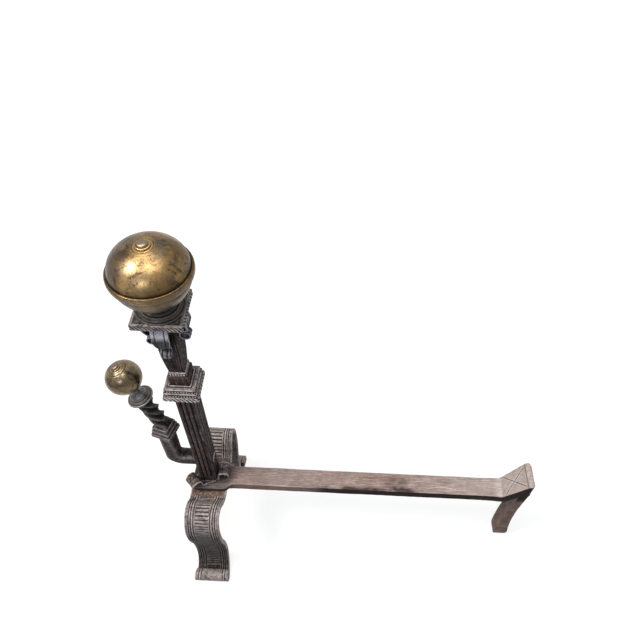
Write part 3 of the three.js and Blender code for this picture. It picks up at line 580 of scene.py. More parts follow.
def forged(name, look, shape):
    """A CAD node's own shape with softened edges and an uneven, hammered skin. shape(points,
    normals) gives the depth cut into it and its marks, and may move the points."""
    work = add_object(name + "_work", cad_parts[look[2]].data.copy())
    remesh = work.modifiers.new("remesh", "REMESH")
    remesh.mode = "VOXEL"
    remesh.voxel_size = VOXEL * MM
    smooth = work.modifiers.new("smooth", "SMOOTH")
    smooth.factor = 0.5
    smooth.iterations = SMOOTHING
    graph = bpy.context.evaluated_depsgraph_get()
    mesh = bpy.data.meshes.new_from_object(work.evaluated_get(graph))
    bpy.data.objects.remove(work)
    mesh.name = name
    place, normal = np.zeros((2, len(mesh.vertices) * 3))
    mesh.vertices.foreach_get("co", place)
    mesh.vertex_normals.foreach_get("vector", normal)
    points, normal = place.reshape(-1, 3) / MM, normal.reshape(-1, 3)
    x, y, z = points.T
    broad = field(x * 0.035, y * 0.05, z * 0.05)
    small = field(x * 0.16 + 9, y * 0.22, z * 0.22)
    sink = HAMMERED * (0.5 + 0.38 * broad + 0.22 * small)
    points[:, 0] -= AXIS_X / MM
    extra, marks = shape(points, normal)
    place = row_frame(points) - normal * most(sink + extra, 0)[:, None] * MM
    mesh.vertices.foreach_set("co", place.ravel())
    set_marks(mesh, marks)
    mesh.shade_smooth()
    mesh.update()
    finish_piece(add_object(name, mesh), *look)


# --- Leg arch: one strap with chiselled border lines and a ladder of cross bars ---
SEAT_MID = 156.5
SEAT_END = 28.0
KNEE_TOP = (64, 177.5)
KNEE_SIDE = (83, 141)
ANKLE = (72.5, 54)
STRAP_THICK = 7.0
TOE_REACH = 100.5
TOE_MID = 6.9
TOE_LEVEL = 9.9
TOE_START, TOE_STOP = -90, 146
LINES_START = 31
LADDER_START = 36.0
LADDER_PITCH = 5.1
LADDER_GAP = (118, 141)


def leg_lines():
    seat = (SEAT_END, SEAT_MID)
    leg = chain(
        np.array([(0.0, SEAT_MID), seat]),
        ess(seat, KNEE_TOP, OUT),
        quarter(KNEE_TOP, KNEE_SIDE, OUT),
        ess(KNEE_SIDE, ANKLE, UP),
        quarter(ANKLE, (TOE_REACH, TOE_LEVEL - TOE_MID), UP),
        arc((TOE_REACH, TOE_LEVEL), TOE_MID, TOE_START, TOE_STOP),
    )
    other = leg[::-1][:-1].copy()
    other[:, 0] *= -1
    return chain(other, leg)


def make_leg_arch(material):
    path = even(leg_lines(), 0.85)
    line, _, run = path
    leg_length = run[-1] / 2
    roll = math.radians(TOE_STOP - TOE_START) * TOE_MID
    toe = leg_length - roll
    reach = abs(run - leg_length)
    thick = STRAP_THICK - 3.0 * unit((reach - toe) / roll) ** 2
    width = 2 * np.interp(
        abs(line[:, 0]), [0, SEAT_END, 52, 76, 94, 112], [27, 27, 25.8, 25, 26.2, 28])

    def carve_out(at, side, half):
        s = abs(at - leg_length)
        lines, ridges_and_light, bars = np.zeros((3, len(side)))
        if LINES_START < s < toe - 2:
            fade = min(1, (s - LINES_START) / 2)
            wander = 0.35 * noise.noise((at * 0.05, 3.1, 0.4))
            for inset in (5.2, 8.6, 12.6):
                away = abs(abs(side) - (half - inset) + wander)
                lines = most(lines, groove(away, 0.95) * fade)
                ridges_and_light = most(ridges_and_light, bell(away - 1.55, 0.6) * 0.85 * fade)
        if LADDER_START < s < toe - 16 and not LADDER_GAP[0] < s < LADDER_GAP[1]:
            k = (s - LADDER_START) / LADDER_PITCH
            shift = 0.12 * noise.noise((round(k) * 3.7, 0.0, 1.0))
            away = abs((k + shift) - round(k)) * LADDER_PITCH
            inside = step_in(half - 14.4 - abs(side), 0, 1.2)
            bars = groove(away, 1.15) * inside
            ridges_and_light = most(ridges_and_light, inside * bell(away - 1.75, 0.6) * 0.9)
        lip = bell(s - (toe - 4), 1.6)
        dent = 0.16 + 0.16 * field(at * 0.09, side * 0.12, 5.0)
        depth = 0.75 * lines + bars + dent + 0.35 * (1 - lip)
        shade = 0.6 * step_in(s, 100, 128) * (1 - step_in(s, toe - 9, toe - 4))
        # Painted sheen across the knee; the toe roll is paler, partly from wear and partly from painted
        # light on its up-facing curl.
        knee = 0.35 * bell(s - 78, 22) + 0.75 * step_in(s, toe - 6, toe)
        ridges_and_light = most(ridges_and_light, edges(side, half, 1.6, 0.8), 0.9 * lip, knee) * (1 - 0.5 * shade)
        return depth, ridges_and_light, unit(lines + 1.1 * bars + shade)

    def carve_in(at, side, half):
        lines, ridges_and_light = np.zeros((2, len(side)))
        if abs(at - leg_length) > leg_length - roll * 0.92:
            for inset in (5.0, 9.5):
                away = abs(abs(side) - (half - inset))
                lines = most(lines, groove(away, 0.9))
                ridges_and_light = most(ridges_and_light, bell(away - 1.5, 0.6) * 0.8)
            # The toe roll is paler, partly from wear and partly from painted light on its up-facing
            # curl.
            ridges_and_light = most(ridges_and_light, 0.42 * (1 - lines))
        dent = 0.14 + 0.14 * field(at * 0.11, side * 0.12, 11.0)
        return 0.5 * lines + dent, most(ridges_and_light, edges(side, half, 1.5, 0.6)), lines

    def place(y, z, side):
        return side, y, most(0.0, z)

    tan_band = 0.85 * step_in(reach, 22, 26) * (1 - step_in(reach, 33, 37))
    toe_panel = 0.2 * step_in(reach, toe - 9, toe - 4)
    strap(
        "leg_arch_strap", (material, "iron", "leg_arch"), path, width, thick, carve_out, carve_in, place,
        91, 1.1, most(tan_band, toe_panel))


# --- Log bar, with the chiselled cross on its kink ---
BAR_TOP = 168.7
BAR_HALF = 15.0
BAR_LENGTH = 446.0
LEG_FROM = 400
KINK_RUN = 28.0
KINK_RISE = 45.0
CROSS_MID = 27
CROSS_WIDE, CROSS_TALL = 38, 27
FOLD = 51


def make_log_bar(material):
    slope = math.hypot(KINK_RUN, KINK_RISE)
    up_x, up_z = KINK_RUN / slope, KINK_RISE / slope
    diagonal = math.hypot(CROSS_WIDE, CROSS_TALL)

    def shape(p, normal):
        x, y, z = p.T
        # Along the kink's face and off it, from where it leaves the straight bar.
        s = (x - BAR_LENGTH) * up_x + (z - BAR_TOP) * up_z
        off = -(x - BAR_LENGTH) * up_z + (z - BAR_TOP) * up_x
        top = normal[:, 2] > 0.3
        face = (off > -3.0) & (s > 0) & (normal[:, 2] > 0.2)
        within = (abs(s - CROSS_MID) < 20) & face
        cut, rise = np.zeros((2, len(p)))
        for sign in (1, -1):
            across = (s - CROSS_MID) * CROSS_TALL / diagonal - sign * y * CROSS_WIDE / diagonal
            cut = most(cut, groove(across, 0.75) * within)
            rise = most(rise, bell(abs(across) - 1.6, 0.85) * within)
        fold = groove(s - FOLD, 1.4) * face

        half = np.interp(x, [30, 420, BAR_LENGTH, 474], [BAR_HALF, BAR_HALF, 16.2, 20])
        edge = unit((abs(y) - (half - 1.6)) / 1.4) * top * 0.7
        pale_share = bell(s + 1, 5) * top * (x > LEG_FROM) * 0.8
        brow = step_in(s, FOLD, FOLD + 3) * top * 0.4
        far_end = 0.3 * step_in(x, 260, 400) * top + 0.25 * face
        beside = step_in(abs(normal[:, 1]), 0.55, 0.85)
        # Faces turned downwards get painted shade.
        below = step_in(-normal[:, 2], 0.2, 0.7)
        sooty = step_in(x + 60 * field(x * 0.012, y * 0.05, 4.0), 110, 190)
        leg = step_in(BAR_TOP - 6 - z, 0, 34) * (x > LEG_FROM)
        outer = step_in(x + 0.16 * (z - 120), 476, 486) * leg
        spots = field(x * 0.16, y * 0.16, z * 0.1)
        smoke = field(x * 0.05, y * 0.11, 7.0)
        blots = field(x * 0.06, y * 0.08, z * 0.05) + 0.3 * spots
        near_edge = bell(x - 225, 75) * bell(y + 16, 5.5)
        middle = 0.9 * bell(x - 292, 20) * bell(y + 7, 11)
        patches = unit((near_edge + middle) * (1 + 1.6 * smoke + 0.5 * spots)) * top
        scuffs = 0.5 * outer * step_in(spots, -0.2, 0.5) * bell(z - 135, 30)
        scratch = bell(y + 6 - 2.2 * np.sin(x / 9), 0.8) * (x > 332) * (x < 392) * top

        rise = most(rise, edge, pale_share, brow, far_end) * (1 - 0.8 * leg)
        rise = most(rise, 0.9 * scuffs, 0.95 * scratch)
        # Hollow marks hold the cross and fold cuts, soot, the rear leg's dark blots and outer end, dark
        # patches, and painted shade on the down-facing faces; the bar also darkens towards the tongue's
        # end.
        hollow = most(
            cut, 0.6 * fold, sooty * beside * (1 - leg) * 0.97, below * 0.8 * (1 - leg),
            0.85 * outer, leg * (0.2 + 0.35 * step_in(blots, -0.45, 0.5)), 0.85 * patches,
            0.05 * face * (s < FOLD), 0.78 * (1 - step_in(x, 24, 52)), 0.16 * (1 - step_in(x, 60, 180)))
        red = 0.62 * bell(x - 270, 100) * step_in(smoke + 0.4 * spots, -0.7, 0.5)
        rust = most(
            0.95 * leg, beside * (1 - sooty), 0.2 * (1 - step_in(x, 50, 130)), red)
        marks = {
            "ridge": rise, "hollow": unit(hollow * (1 - scuffs)), "rust": unit(rust)}

        # The tongue's flare is trimmed below, where the CAD shape narrows.
        flare = (x > 20) & (x < 46) & (abs(y) > BAR_HALF)
        trimmed = BAR_HALF + (abs(y) - BAR_HALF) * step_in(z, 156, 160)
        p[:, 1] = np.where(flare, np.sign(y) * trimmed, y)
        return 0.55 * cut + 0.4 * fold, marks

    forged("log_bar_forged", (material, "bar_iron", "log_bar"), shape)


# --- Petals ---
PETAL_BOTTOM = 169.0
PETAL_TOP = 172.2
PETAL_THICK = 3.2
PETAL_DISC = 17.2
PETAL_CURL = 7.4
PETAL_WIDTH = 22.6
PETALS = (
    # name, angle in degrees, how far out it starts to rise
    ("petal_rear", 0, 12.2),
    ("petal_far", 135, 17.25),
    ("petal_near", 225, 17.25),
)


def make_petals(material):
    outline = [(0, PETAL_BOTTOM), (PETAL_DISC, PETAL_BOTTOM), (PETAL_DISC, PETAL_TOP), (0, PETAL_TOP)]
    look = (material, "iron", "petal_plate")
    lathe("petal_disc", look, dense(fillet(outline, 0.8), 2.0), 72, closed=False)
    mid = PETAL_BOTTOM + PETAL_THICK / 2
    for name, angle, reach in PETALS:
        foot = reach + 0.3
        neck = foot + 3.0
        eye = (neck + PETAL_CURL, mid + 12.5)
        path = even(chain(
            np.array([[4.0, mid], [foot, mid]]),
            quarter((foot, mid), (neck, eye[1]), OUT),
            arc(eye, PETAL_CURL, 180, -100)), 0.6)
        line, _, run = path
        t = run / run[-1]
        width = np.minimum(
            np.interp(
                t, [0, 0.22, 0.34, 0.58, 0.85, 1], [PETAL_WIDTH, PETAL_WIDTH, 20.4, 22.0, 17.6, 9.0]),
            np.interp(line[:, 0], [0, neck, eye[0] + 9.0], [PETAL_WIDTH, PETAL_WIDTH, 20.0]))

        def carve(at, side, half, seed=angle):
            dent = 0.22 + 0.22 * field(at * 0.2 + seed, side * 0.2, 2.0)
            middle = groove(side, 2.2) * 0.25
            return dent + middle, edges(side, half, 1.4, 0.8), middle * 1.5

        strap(name, look, path, width, PETAL_THICK - 1.5 * t, carve, carve, facing(angle), 25, 0.9)


# --- Post ---
SHAFT_HALF = 12.2
SHAFT_FOOT = 172.5
SHAFT_TOP = 447.0
BAND_TOP = 455.6
POST_TOP = 552.0
SWELL_LEVELS = [BAND_TOP, 466, 478, 490, 500, 512, 526, 540, POST_TOP]
SWELL_HALVES = [9.2, 10.15, 11.1, 11.8, 12.0, 11.75, 11.0, 10.2, 9.5]
SIDE_VEINS = 7


def flutes(level, along, half):
    """Three grooves down each face of the shaft, and a worn ridge between them."""
    pitch = SHAFT_HALF / 2
    fade = step_in(level, SHAFT_FOOT + 7, SHAFT_FOOT + 15) * (1 - step_in(level, 424, 428))
    cut = fade * most(*[
        groove(along - middle + 0.3 * noise.noise((level * 0.03, middle, 1.0)), 1.35)
        for middle in (-pitch, 0.0, pitch)])
    dent = 0.1 + 0.14 * field(level * 0.04, along * 0.2, 7.0)
    ridge = bell(abs(abs(along) - pitch / 2) - 1.0, 0.7) * 0.3 * fade
    return -(1.3 * cut + dent), most(ridge, edges(along, half, 1.3, 0.85)), cut


def leaf_veins(level, along, half):
    """A border, a middle vein and pairs of side veins on each face of the upper post."""
    length = POST_TOP - BAND_TOP
    up = (level - BAND_TOP) / length
    border = abs(along) - (half - 2.4)
    vein = groove(along, 0.8) * step_in(up, 0.06, 0.12)
    side = (abs(along) < half - 3.4) * most(*[
        groove((up - (0.06 + 0.11 * k)) * length - abs(along) * 1.1, 0.95)
        for k in range(SIDE_VEINS)])
    cut = most(groove(border, 0.9), vein, 0.8 * side)
    ridge = most(bell(abs(border) - 1.3, 0.6) * 0.55, edges(along, half, 1.0, 0.6))
    return -0.5 * cut - 0.05, 0.5 * ridge, cut


def make_post(material, rivet_material):
    outline = [(0, SHAFT_FOOT), (SHAFT_HALF, SHAFT_FOOT), (SHAFT_HALF, SHAFT_TOP), (0, SHAFT_TOP)]
    look = (material, "iron", "post")
    square_pile("post_shaft", look, dense(outline, 2.2), flutes, 64, 1.4, closed=False)
    levels = np.linspace(BAND_TOP, POST_TOP, 90)
    halves = np.interp(levels, SWELL_LEVELS, SWELL_HALVES)
    profile = [(0, SHAFT_TOP), (7.4, SHAFT_TOP), (7.4, BAND_TOP), *zip(halves, levels), (0, POST_TOP)]
    square_pile("post_upper", look, profile, leaf_veins, 56, 1.0, least=8, closed=False)
    peened("post_tenon_head", look, 9.5, 4.5, 149.4, 24, up=-1)
    peened("post_rivet", (rivet_material, "brass", "post"), 5.5, 2.2, 647.9, 10)


# --- Collars, band, cap plate ---
COLLAR_BOTTOM = 410.0
COLLAR_TIERS = [(21.6, 7.5), (20.0, 7.0), (18.6, 6.5)]
ROPE_TOP = 417.5
SECOND_TIER = 424.5
BEAD_ROW = 3.6
BAND_BEADS = (448.6, 454.0)
HORN_COLLAR_BOTTOM = 297.0
HORN_TIERS = [(14.0, 7.0), (12.6, 7.0), (11.2, 6.0)]
HORN_ROPE_TOP = 301.5
HORN_REACH = 44.0
HORN_TURN = -17.0
CAP_BOTTOM = 552.3
CAP_HALF = 27
CAP_TOP = 560.7
CAP_ROPE = (553.0, 560.0)


def waves(phase, level, low, high):
    """Humps along a moulding, and how much it swells between its two levels."""
    wave = abs(np.sin(math.pi * phase))
    return wave, max(0.0, 1 - ((level - (low + high) / 2) / ((high - low) / 2)) ** 2)


def rope(along, level, low, high, pitch, lean):
    """Slanting strands between two levels: their gain, their crests and the cuts between them."""
    wave, swell = waves((along + lean * (level - low)) / pitch, level, low, high)
    gain = (wave ** 0.6 - 1) * (0.35 + 0.65 * swell)
    crest = unit(1.6 * wave ** 2 * swell ** 0.4)
    return gain, crest, (1 - wave) ** 1.2 * min(1, swell * 3)


def beads(along, level, low, high, pitch):
    """A row of beads between two levels: their gain, their crests and the cuts between them."""
    wave, swell = waves(along / pitch, level, low, high)
    bead = np.sqrt(wave * swell)
    return bead - 1, unit(1.5 * bead ** 3), 1 - bead


def collar_profile(bottom, tiers, inner):
    points = [(inner, bottom)]
    level = bottom
    for half, height in tiers:
        points += [(half, level), (half, level + height)]
        level += height
    points += [(inner + 1.2, level), (inner + 1.0, level + 2.0), (inner, level + 2.0)]
    return rounded(points, 0.7, 0.42)


def collar_pattern(level, along, half):
    if level < ROPE_TOP:
        gain, up, down = rope(along, level, COLLAR_BOTTOM, ROPE_TOP, 5.2, 0.8)
        return 2.0 * gain, up, unit(1.5 * down)
    row = ROPE_TOP if level < SECOND_TIER else SECOND_TIER
    if level <= row + BEAD_ROW:
        gain, up, down = beads(along, level, row, row + BEAD_ROW, 3.3)
        return 1.3 * gain, up, unit(1.4 * down)
    slot = bell(level - row - BEAD_ROW - 0.5, 0.5)
    return -0.5 * slot, 0.3 * (1 - slot), 0.9 * slot


def band_pattern(level, along, half):
    if not BAND_BEADS[0] < level < BAND_BEADS[1]:
        return 0.0, 0.4, 0.0
    gain, up, down = beads(along, level, *BAND_BEADS, 3.2)
    return 0.9 * gain, up, down


def horn_collar_pattern(level, along, half):
    height = HORN_TIERS[0][1]
    tier = min(2, (level + MERGE - HORN_COLLAR_BOTTOM) // height)
    if tier == 0 and level < HORN_ROPE_TOP:
        gain, up, down = rope(along, level, HORN_COLLAR_BOTTOM, HORN_ROPE_TOP, 3.8, 0.9)
        return 1.2 * gain, up, down
    rise = level - (HORN_COLLAR_BOTTOM + tier * height)
    slot = bell(rise - 4.4, 0.6) + bell(rise - 1.6, 0.6)
    return -0.55 * slot, 0.6 * (1 - slot), 0.8 * slot


def plate_pattern(level, along, half):
    if half > CAP_HALF - 0.8 and CAP_ROPE[0] < level < CAP_ROPE[1]:
        gain, up, down = rope(along, level, *CAP_ROPE, 4.2, 0.8)
        return 1.5 * gain, 0.8 * up, down
    line = bell(half - 22.8, 0.5) if level > 556 else 0.0
    return 0.0, 0.5 if half > 24 else 0.1, 0.7 * line


def make_collars(material, horn_material):
    profile = collar_profile(COLLAR_BOTTOM, COLLAR_TIERS, 12.6)
    look = (material, "iron", "main_collar")
    square_pile("main_collar_moulded", look, profile, collar_pattern, 92, 1.0, least=14)
    profile = rounded([(7.8, 447.3), (10.5, 447.3), (10.5, 455.3), (7.8, 455.3)], 1.4, 0.4, 4)
    look = (material, "iron", "bead_band")
    square_pile("bead_band_moulded", look, profile, band_pattern, 52, 0.9, least=9)
    profile = collar_profile(HORN_COLLAR_BOTTOM, HORN_TIERS, 9.9)
    square_pile(
        "horn_collar_moulded", (horn_material, "iron", "horn_collar"), profile, horn_collar_pattern,
        64, 0.9, least=10.5, turn=HORN_TURN, centre=(-HORN_REACH, 0.0))
    points = [
        (0, CAP_BOTTOM), (CAP_HALF, CAP_BOTTOM), (CAP_HALF, CAP_TOP), (23.6, CAP_TOP), (23.0, 560.2),
        (22.4, CAP_TOP), (0, CAP_TOP)]
    look = (material, "iron", "cap_plate")
    square_pile(
        "cap_plate_roped", look, dense(fillet(points, 0.9), 0.5), plate_pattern, 112, 0.9, closed=False)


# --- Brackets ---
BRACKET_FOOT = 12.5
BRACKET_DROP = 52.0
REAR_DROP = 40.0
BULGE = 24.6
SCROLL = 6.4
SCROLL_LINE = SCROLL - 0.9


def make_brackets(material):
    top = CAP_BOTTOM - 0.3 - 1.4
    for k, side_name in enumerate(("rear", "far", "front", "near")):
        drop = REAR_DROP if side_name == "rear" else BRACKET_DROP
        bulge = (BULGE, CAP_BOTTOM - 0.42 * drop)
        eye = (12.6 + SCROLL, CAP_BOTTOM - drop + SCROLL)
        saddle = (eye[0], eye[1] + SCROLL_LINE + 5 * drop / BRACKET_DROP)
        path = even(chain(
            np.array([[BRACKET_FOOT, top], [BULGE - 8, top]]),
            quarter((BULGE - 8, top), bulge, OUT),
            quarter(bulge, saddle, UP),
            quarter(saddle, (eye[0] - SCROLL_LINE, eye[1]), OUT),
            arc(eye, SCROLL_LINE, 180, 450)), 0.5)
        line, _, run = path
        width = np.interp(
            -line[:, 1], [-CAP_BOTTOM, -bulge[1], -(eye[1] + SCROLL), -(eye[1] - 13)], [19, 19, 10, 10])

        def lobes(at, side, half):
            """Three rounded lobes between two deep grooves, along the whole scroll, with painted sheen
            above the bulge and painted shade below it.
            """
            deep = abs(abs(side) - half * 0.58)
            cut = groove(deep, 1.0)
            level = np.interp(at, run, line[:, 1])
            # Painted sheen on the scroll above its bulge.
            lit = step_in(level, bulge[1] + 5, bulge[1] + 9)
            below_bulge = 1 - step_in(level, bulge[1] + 2, bulge[1] + 6)
            # Painted shade from below the bulge down to the eye.
            under = step_in(level, eye[1] + 2, eye[1] + 7) * below_bulge
            crown = 0.3 * abs(side / half) ** 4
            dent = 0.05 + 0.06 * field(at * 0.3 + k, side * 0.3, 9.0)
            ridge = most(bell(deep - 1.9, 0.7) * 0.55, edges(side, half, 1.1, 0.75))
            ridge = most(0.6 * ridge, 0.9 * lit) * (1 - 0.8 * under)
            return 0.6 * cut + crown + dent, ridge, unit(0.95 * cut + 0.8 * under)

        strap(
            f"bracket_{side_name}_scroll", (material, "iron", f"bracket_{side_name}"), path, width,
            2.8 - run / run[-1], lobes, lobes, facing(90 * k), 49, 0.7)


# --- Great ball, dish and neck ---
BALL_MIDDLE = 617.4
SEAM = 0.3
STEM_HOLE = 4.5
RIB_DEPTH = 8.6
BELOW_RIB = 9.8


def oval(radius, height, pole, steps):
    """A quarter of an oval from its equator to where its radius has shrunk to the pole's."""
    stop = math.acos(pole / radius)
    a = np.linspace(0, stop, steps + 1)
    return np.stack([radius * np.cos(a), height * np.sin(a) / math.sin(stop)], axis=1)


def ringed(points, *rings):
    """Cuts shallow turned rings, each a (radius, depth, width), into an oval."""
    points = points.copy()
    for radius, depth, wide in rings:
        points[:, 1] -= depth * bell(points[:, 0] - radius, wide)
    return points


def raised(points, level, up=1):
    """Points whose heights are counted from a level, upwards or downwards."""
    return points * (1, up) + (0, level)


def make_great_ball(brass, bronze):
    dish = [
        (4.6, 561.0), (26.5, 561.0), (26.5, 563.2), (24.6, 563.2), (23.9, 562.7), (22.2, 564.4),
        (21.4, 566.6), (19.6, 566.6), (18.9, 565.6), (17.8, 566.4), (16.0, 567.5), (4.6, 567.5)]
    turned("dish_turned", (bronze, "bronze", "ball_dish"), dish, 0.7, 112)
    neck = [
        (4.6, 567.8), (15.0, 567.8), (15.0, 569.8), (12.2, 570.4), (11.0, 571.4), (13.2, 572.4),
        (14.0, 572.8), (13.2, 573.3), (4.6, 573.3)]
    turned("neck_turned", (bronze, "bronze", "ball_neck"), neck, 0.5, 96)

    outer = ringed(oval(41.4, 43.8, 16.0, 90), (24.0, 0.25, 0.5))
    outer = outer[outer[:, 1] > BELOW_RIB]
    outer[:, 0] -= 1.1 * bell(outer[:, 1] - BELOW_RIB, 2.2)
    a = np.arange(15) / 14 * math.pi
    rib = np.stack([41.1 + 1.7 * np.sin(a) ** 0.7, -RIB_DEPTH * (1 - np.cos(a)) / 2], axis=1)
    lower = np.vstack([
        raised(oval(39.0, 41.4, 13.6, 14)[::-1], BALL_MIDDLE, -1),
        raised(rib, BALL_MIDDLE),
        raised(np.array([(40.2, -8.9), (39.5, -9.4)]), BALL_MIDDLE),
        raised(outer, BALL_MIDDLE, -1),
        [(STEM_HOLE, 573.6), (STEM_HOLE, 576.0)],
    ])
    marks = profile_marks(lower, 0.5)
    rise = lower[:, 1] - BALL_MIDDLE
    # Painted shade over the lower dome, below the rib.
    under = 0.45 * (1 - step_in(rise, -20, -9))
    edge = 0.6 * bell(rise, 1.3) * (lower[:, 0] > 40.5)
    marks["hollow"] = most(marks["hollow"], under, bell(rise + 9.6, 1.0), edge)
    marks["ridge"] *= 0.1

    def dulled(x, y, z):
        return unit(0.5 + 0.7 * field(x * 0.05, y * 0.05, z * 0.08))

    lathe("great_ball_lower", (brass, "brass", "ball_lower_half"), lower, 128, None, marks, dulled)

    level = BALL_MIDDLE + SEAM
    outer = ringed(oval(39.6, 28.2, 9.0, 150), (9.9, 0.16, 0.5), (13.4, 0.04, 0.6), (38.6, 0.3, 0.5))
    upper = np.vstack([
        raised(outer, level),
        [(STEM_HOLE, 645.9), (STEM_HOLE, 643.5)],
        raised(oval(37.2, 25.8, 6.6, 14)[::-1], level),
    ])
    marks = profile_marks(upper, 0.5)
    # Painted shade just above the seam.
    above_seam = 0.6 * (1 - step_in(upper[:, 1], level + 1, level + 9))
    marks["hollow"] = most(marks["hollow"], above_seam)

    def smudge_and_rim_shade(x, y, z):
        beside_rivet = bell(x - 15, 9) * bell(y - 2, 13)
        left = 0.55 * bell(x + 30, 12) * bell(y + 2, 18)
        # Painted shade along the rim, given through the rust mark like soot.
        rim = 0.6 * bell(z - BALL_MIDDLE, 7) * (0.5 + field(x * 0.08, y * 0.08, 2.0))
        cloud = 0.5 * field(x * 0.07 + 3, y * 0.07, z * 0.07)
        return unit(most(beside_rivet, left, rim) * (1 + cloud))

    lathe("great_ball_upper", (brass, "brass", "ball_upper_half"), upper, 128, None, marks, smudge_and_rim_shade)
    washer = [(4.5, 646.2), (7.6, 646.2), (7.6, 646.9), (6.9, 647.6), (4.5, 647.6)]
    turned("ball_washer_turned", (brass, "brass", "ball_washer"), washer, 0.3, 64, step=0.4)


# --- Horn ---
HORN_LEAN = math.radians(14.5)
HORN_LEVEL = 226.0
HORN_HALF = 9.5
HORN_START = -12.5
ELBOW = 13
TWIST_HALF = 8.7
TWIST_TURN = math.radians(315)
BEND = 20.0
TWIST = 58.0
HORN_COLLAR_TOP = 319.0
LEAN_X = -HORN_REACH - BEND * (1 - math.cos(HORN_LEAN))
LEAN_Z = HORN_COLLAR_TOP + BEND * math.sin(HORN_LEAN)
SQUARENESS = 7.0
HORN_SIDES = 72
HORN_STEM = 3.7
HUB_TOP = 26.3
HORN_BALL = 21.75
HORN_BALL_HEIGHT = 21.8 * 0.93


def on_horn(points):
    """Moves an upright piece onto the horn's leaning axis, at the twist's far end."""
    x, z = points[..., 0], points[..., 2] + TWIST
    c, s = math.cos(HORN_LEAN), math.sin(HORN_LEAN)
    return np.stack([LEAN_X + x * c - z * s, points[..., 1], LEAN_Z + x * s + z * c], axis=-1)


def through_post(points):
    """Lays an upright piece down along +X, at the height of the horn's tenon."""
    return np.stack([points[..., 2], points[..., 1], HORN_LEVEL - points[..., 0]], axis=-1)


def make_horn_arm(look):
    """A square bar, bent up and then leaning out, and twisted above its collar."""
    elbow = (-HORN_REACH + ELBOW, HORN_LEVEL + ELBOW)
    top = (LEAN_X - math.sin(HORN_LEAN) * TWIST, LEAN_Z + math.cos(HORN_LEAN) * TWIST)
    line, along, run = even(chain(
        np.array([[HORN_START, HORN_LEVEL], [elbow[0], HORN_LEVEL]]),
        arc(elbow, ELBOW, 270, 180, 40),
        np.array([[-HORN_REACH, elbow[1]], [-HORN_REACH, HORN_COLLAR_TOP]]),
        arc((-HORN_REACH - BEND, HORN_COLLAR_TOP), BEND, 0, math.degrees(HORN_LEAN), 12),
        np.array([[LEAN_X, LEAN_Z], top])), 0.9)
    twist_from = run[-1] - TWIST
    theta = np.linspace(0, 2 * math.pi, HORN_SIDES, endpoint=False)
    c, s = np.cos(theta), np.sin(theta)
    reach = (abs(c) ** SQUARENESS + abs(s) ** SQUARENESS) ** (-1 / SQUARENESS)
    lobe = np.cos(2 * theta) ** 2
    corner = abs(np.sin(2 * theta)) ** 6
    rings, ridge, hollow = [], [], []
    for point, way, at in zip(line, along, run):
        twisted = max(0.0, at - twist_from) / TWIST
        fade = min(1.0, twisted / 0.12, (1 - twisted) / 0.1 + 0.25) if twisted > 0 else 0.0
        turn = step_in(point[1], elbow[1], HORN_COLLAR_BOTTOM) if at > 20 else 0.0
        angle = turn * math.radians(HORN_TURN) - twisted * TWIST_TURN
        half = HORN_HALF + (TWIST_HALF - HORN_HALF) * step_in(at, twist_from - 6, twist_from)
        dent = 0.12 + 0.14 * field(at * 0.1, 2 * c, 2 * s)
        radius = half * (reach - 0.2 * fade * lobe) - dent
        out = radius * np.cos(theta + angle)
        rings.append(np.stack([
            point[0] + way[1] * out, radius * np.sin(theta + angle), point[1] - way[0] * out], axis=1))
        ridge.append(corner * (0.55 - 0.1 * fade))
        hollow.append(lobe * 0.92 * fade)
    loft("horn_arm_twisted", look, np.array(rings), {"ridge": ridge, "hollow": hollow})


def make_horn(iron, brass, bronze, rivet):
    look = (iron, "iron", "horn_arm")
    make_horn_arm(look)
    peened("horn_tenon_head", look, 5.4, 2.0, 14.4, 26, through_post)
    washer = [(4.3, 12.5), (7.0, 12.5), (7.0, 13.3), (6.2, 14.1), (4.3, 14.1)]
    look = (iron, "iron", "horn_arm_washer")
    turned("arm_washer_turned", look, washer, 0.3, 56, through_post, 0.4)

    disc = [
        (HORN_STEM, 0.3), (11.7, 0.3), (16.0, 2.5), (16.8, 3.8), (16.0, 5.1), (14.6, 5.2), (13.9, 4.9),
        (13.3, 5.9), (12.5, 7.3), (11.6, 7.2), (9.85, 12.0), (7.4, 14.2), (5.6, 16.8), (5.6, 21.5),
        (7.2, 24.7), (6.4, HUB_TOP), (HORN_STEM, HUB_TOP)]
    turned("horn_disc_turned", (bronze, "bronze", "horn_disc"), disc, 0.8, 88, on_horn, 0.5)

    bottom = HUB_TOP + 0.3
    half = HORN_BALL_HEIGHT
    middle = bottom + half
    outer = oval(HORN_BALL, half, 7.0, 110)
    inner = oval(19.8, half - 2, 5.0, 12)
    crown = ringed(outer, (8.2, 0.22, 0.5), (11.2, 0.35, 0.6))
    ball = np.vstack([
        [(HORN_STEM, bottom)],
        raised(outer[::-1], middle, -1),
        raised(crown[1:], middle),
        [(HORN_STEM, middle + half), (HORN_STEM, middle + half - 2)],
        raised(inner[::-1], middle),
        raised(inner[1:], middle, -1),
        [(HORN_STEM, bottom + 2)],
    ])
    look = (brass, "brass", "horn_ball")
    lathe("horn_ball_turned", look, ball, 104, on_horn, profile_marks(ball, 0.5))
    level = middle + half + 0.3
    washer = [
        (HORN_STEM, level), (5.8, level), (5.8, level + 0.6), (5.2, level + 1.2),
        (HORN_STEM, level + 1.2)]
    turned("horn_washer_turned", (brass, "brass", "horn_washer"), washer, 0.25, 56, on_horn, 0.4)
    peened("horn_rivet", (rivet, "brass", "horn_arm"), 4.2, 2.0, level + 1.5, 8, on_horn)


# --- Assembly ---
make_camera()
make_studio()

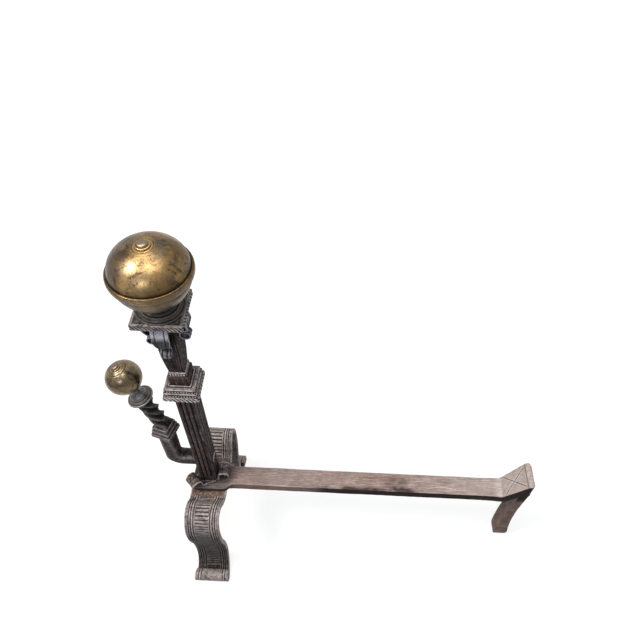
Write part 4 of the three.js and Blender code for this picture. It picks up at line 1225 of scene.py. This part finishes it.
# Iron: its dark, middle, pale and rusty colours, its specular level, and its gloss.
iron = iron_material(
    "forged_iron", (0.012, 0.009, 0.009), (0.105, 0.081, 0.074), (0.52, 0.45, 0.43), (0.18, 0.11, 0.08),
    0.14, (0.36, 0.62))
black_iron = iron_material(
    "black_iron", (0.005, 0.0035, 0.0035), (0.03, 0.021, 0.0195), (0.32, 0.28, 0.265),
    (0.05, 0.025, 0.019), 0.1, (0.44, 0.7))
collar_iron = iron_material(
    "collar_iron", (0.006, 0.0045, 0.0045), (0.04, 0.029, 0.027), (0.52, 0.46, 0.44), (0.07, 0.04, 0.03),
    0.12, (0.38, 0.64))
post_iron = iron_material(
    "post_iron", (0.006, 0.004, 0.004), (0.055, 0.039, 0.034), (0.26, 0.21, 0.185), (0.07, 0.032, 0.024),
    0.08, (0.5, 0.8), rust_from=0.5, grain_scale=620, stretch=(1.0, 1.0, 0.09), blotch=0.25)
# Its bluish pale is also the colour of the sheen painted on the brackets above their bulges.
bracket_iron = iron_material(
    "bracket_iron", (0.015, 0.013, 0.015), (0.1, 0.093, 0.104), (0.43, 0.42, 0.47), (0.07, 0.045, 0.036),
    0.4, (0.26, 0.44), rust_from=0.58)
bar_iron = iron_material(
    "bar_iron", (0.185, 0.145, 0.13), (0.32, 0.245, 0.222), (0.55, 0.47, 0.44), (0.31, 0.17, 0.125),
    0.1, (0.42, 0.66), rust_from=0.58, grain_scale=760, stretch=(0.045, 1.0, 1.0), blotch=0.26)
# Brass: its bright, brown, dark and grey colours, how much its specks show, and its roughness.
brass = brass_material(
    "old_brass", (0.33, 0.215, 0.093), (0.13, 0.08, 0.036), (0.025, 0.017, 0.012), (0.1, 0.086, 0.072),
    0.85, (0.28, 0.46))
small_brass = brass_material(
    "small_brass", (0.25, 0.19, 0.108), (0.1, 0.073, 0.042), (0.022, 0.017, 0.013), (0.08, 0.07, 0.058),
    0.8, (0.2, 0.38), cloud_scale=30)
disc_bronze = brass_material(
    "disc_bronze", (0.17, 0.155, 0.142), (0.1, 0.09, 0.084), (0.03, 0.027, 0.026), (0.13, 0.125, 0.125),
    0.7, (0.32, 0.5), 0.7, 50)
rivet_brass = brass_material(
    "rivet_brass", (0.27, 0.2, 0.14), (0.19, 0.135, 0.095), (0.06, 0.045, 0.034), (0.16, 0.13, 0.11),
    0.4, (0.3, 0.45), cloud_scale=60)
bronze = brass_material(
    "dark_bronze", (0.07, 0.059, 0.048), (0.038, 0.032, 0.028), (0.015, 0.0125, 0.011),
    (0.065, 0.06, 0.056), 0.7, (0.36, 0.55), 0.6, 40)

make_leg_arch(iron)
make_log_bar(bar_iron)
make_petals(iron)
make_post(post_iron, rivet_brass)
make_collars(collar_iron, black_iron)
make_brackets(bracket_iron)
make_great_ball(brass, bronze)
make_horn(black_iron, small_brass, disc_bronze, rivet_brass)
washer = [(6.3, 149.7), (12.5, 149.7), (12.5, 151.2), (11.0, 152.7), (6.3, 152.7)]
turned("under_washer_turned", (iron, "iron", "under_washer"), washer, 0.5, 64)
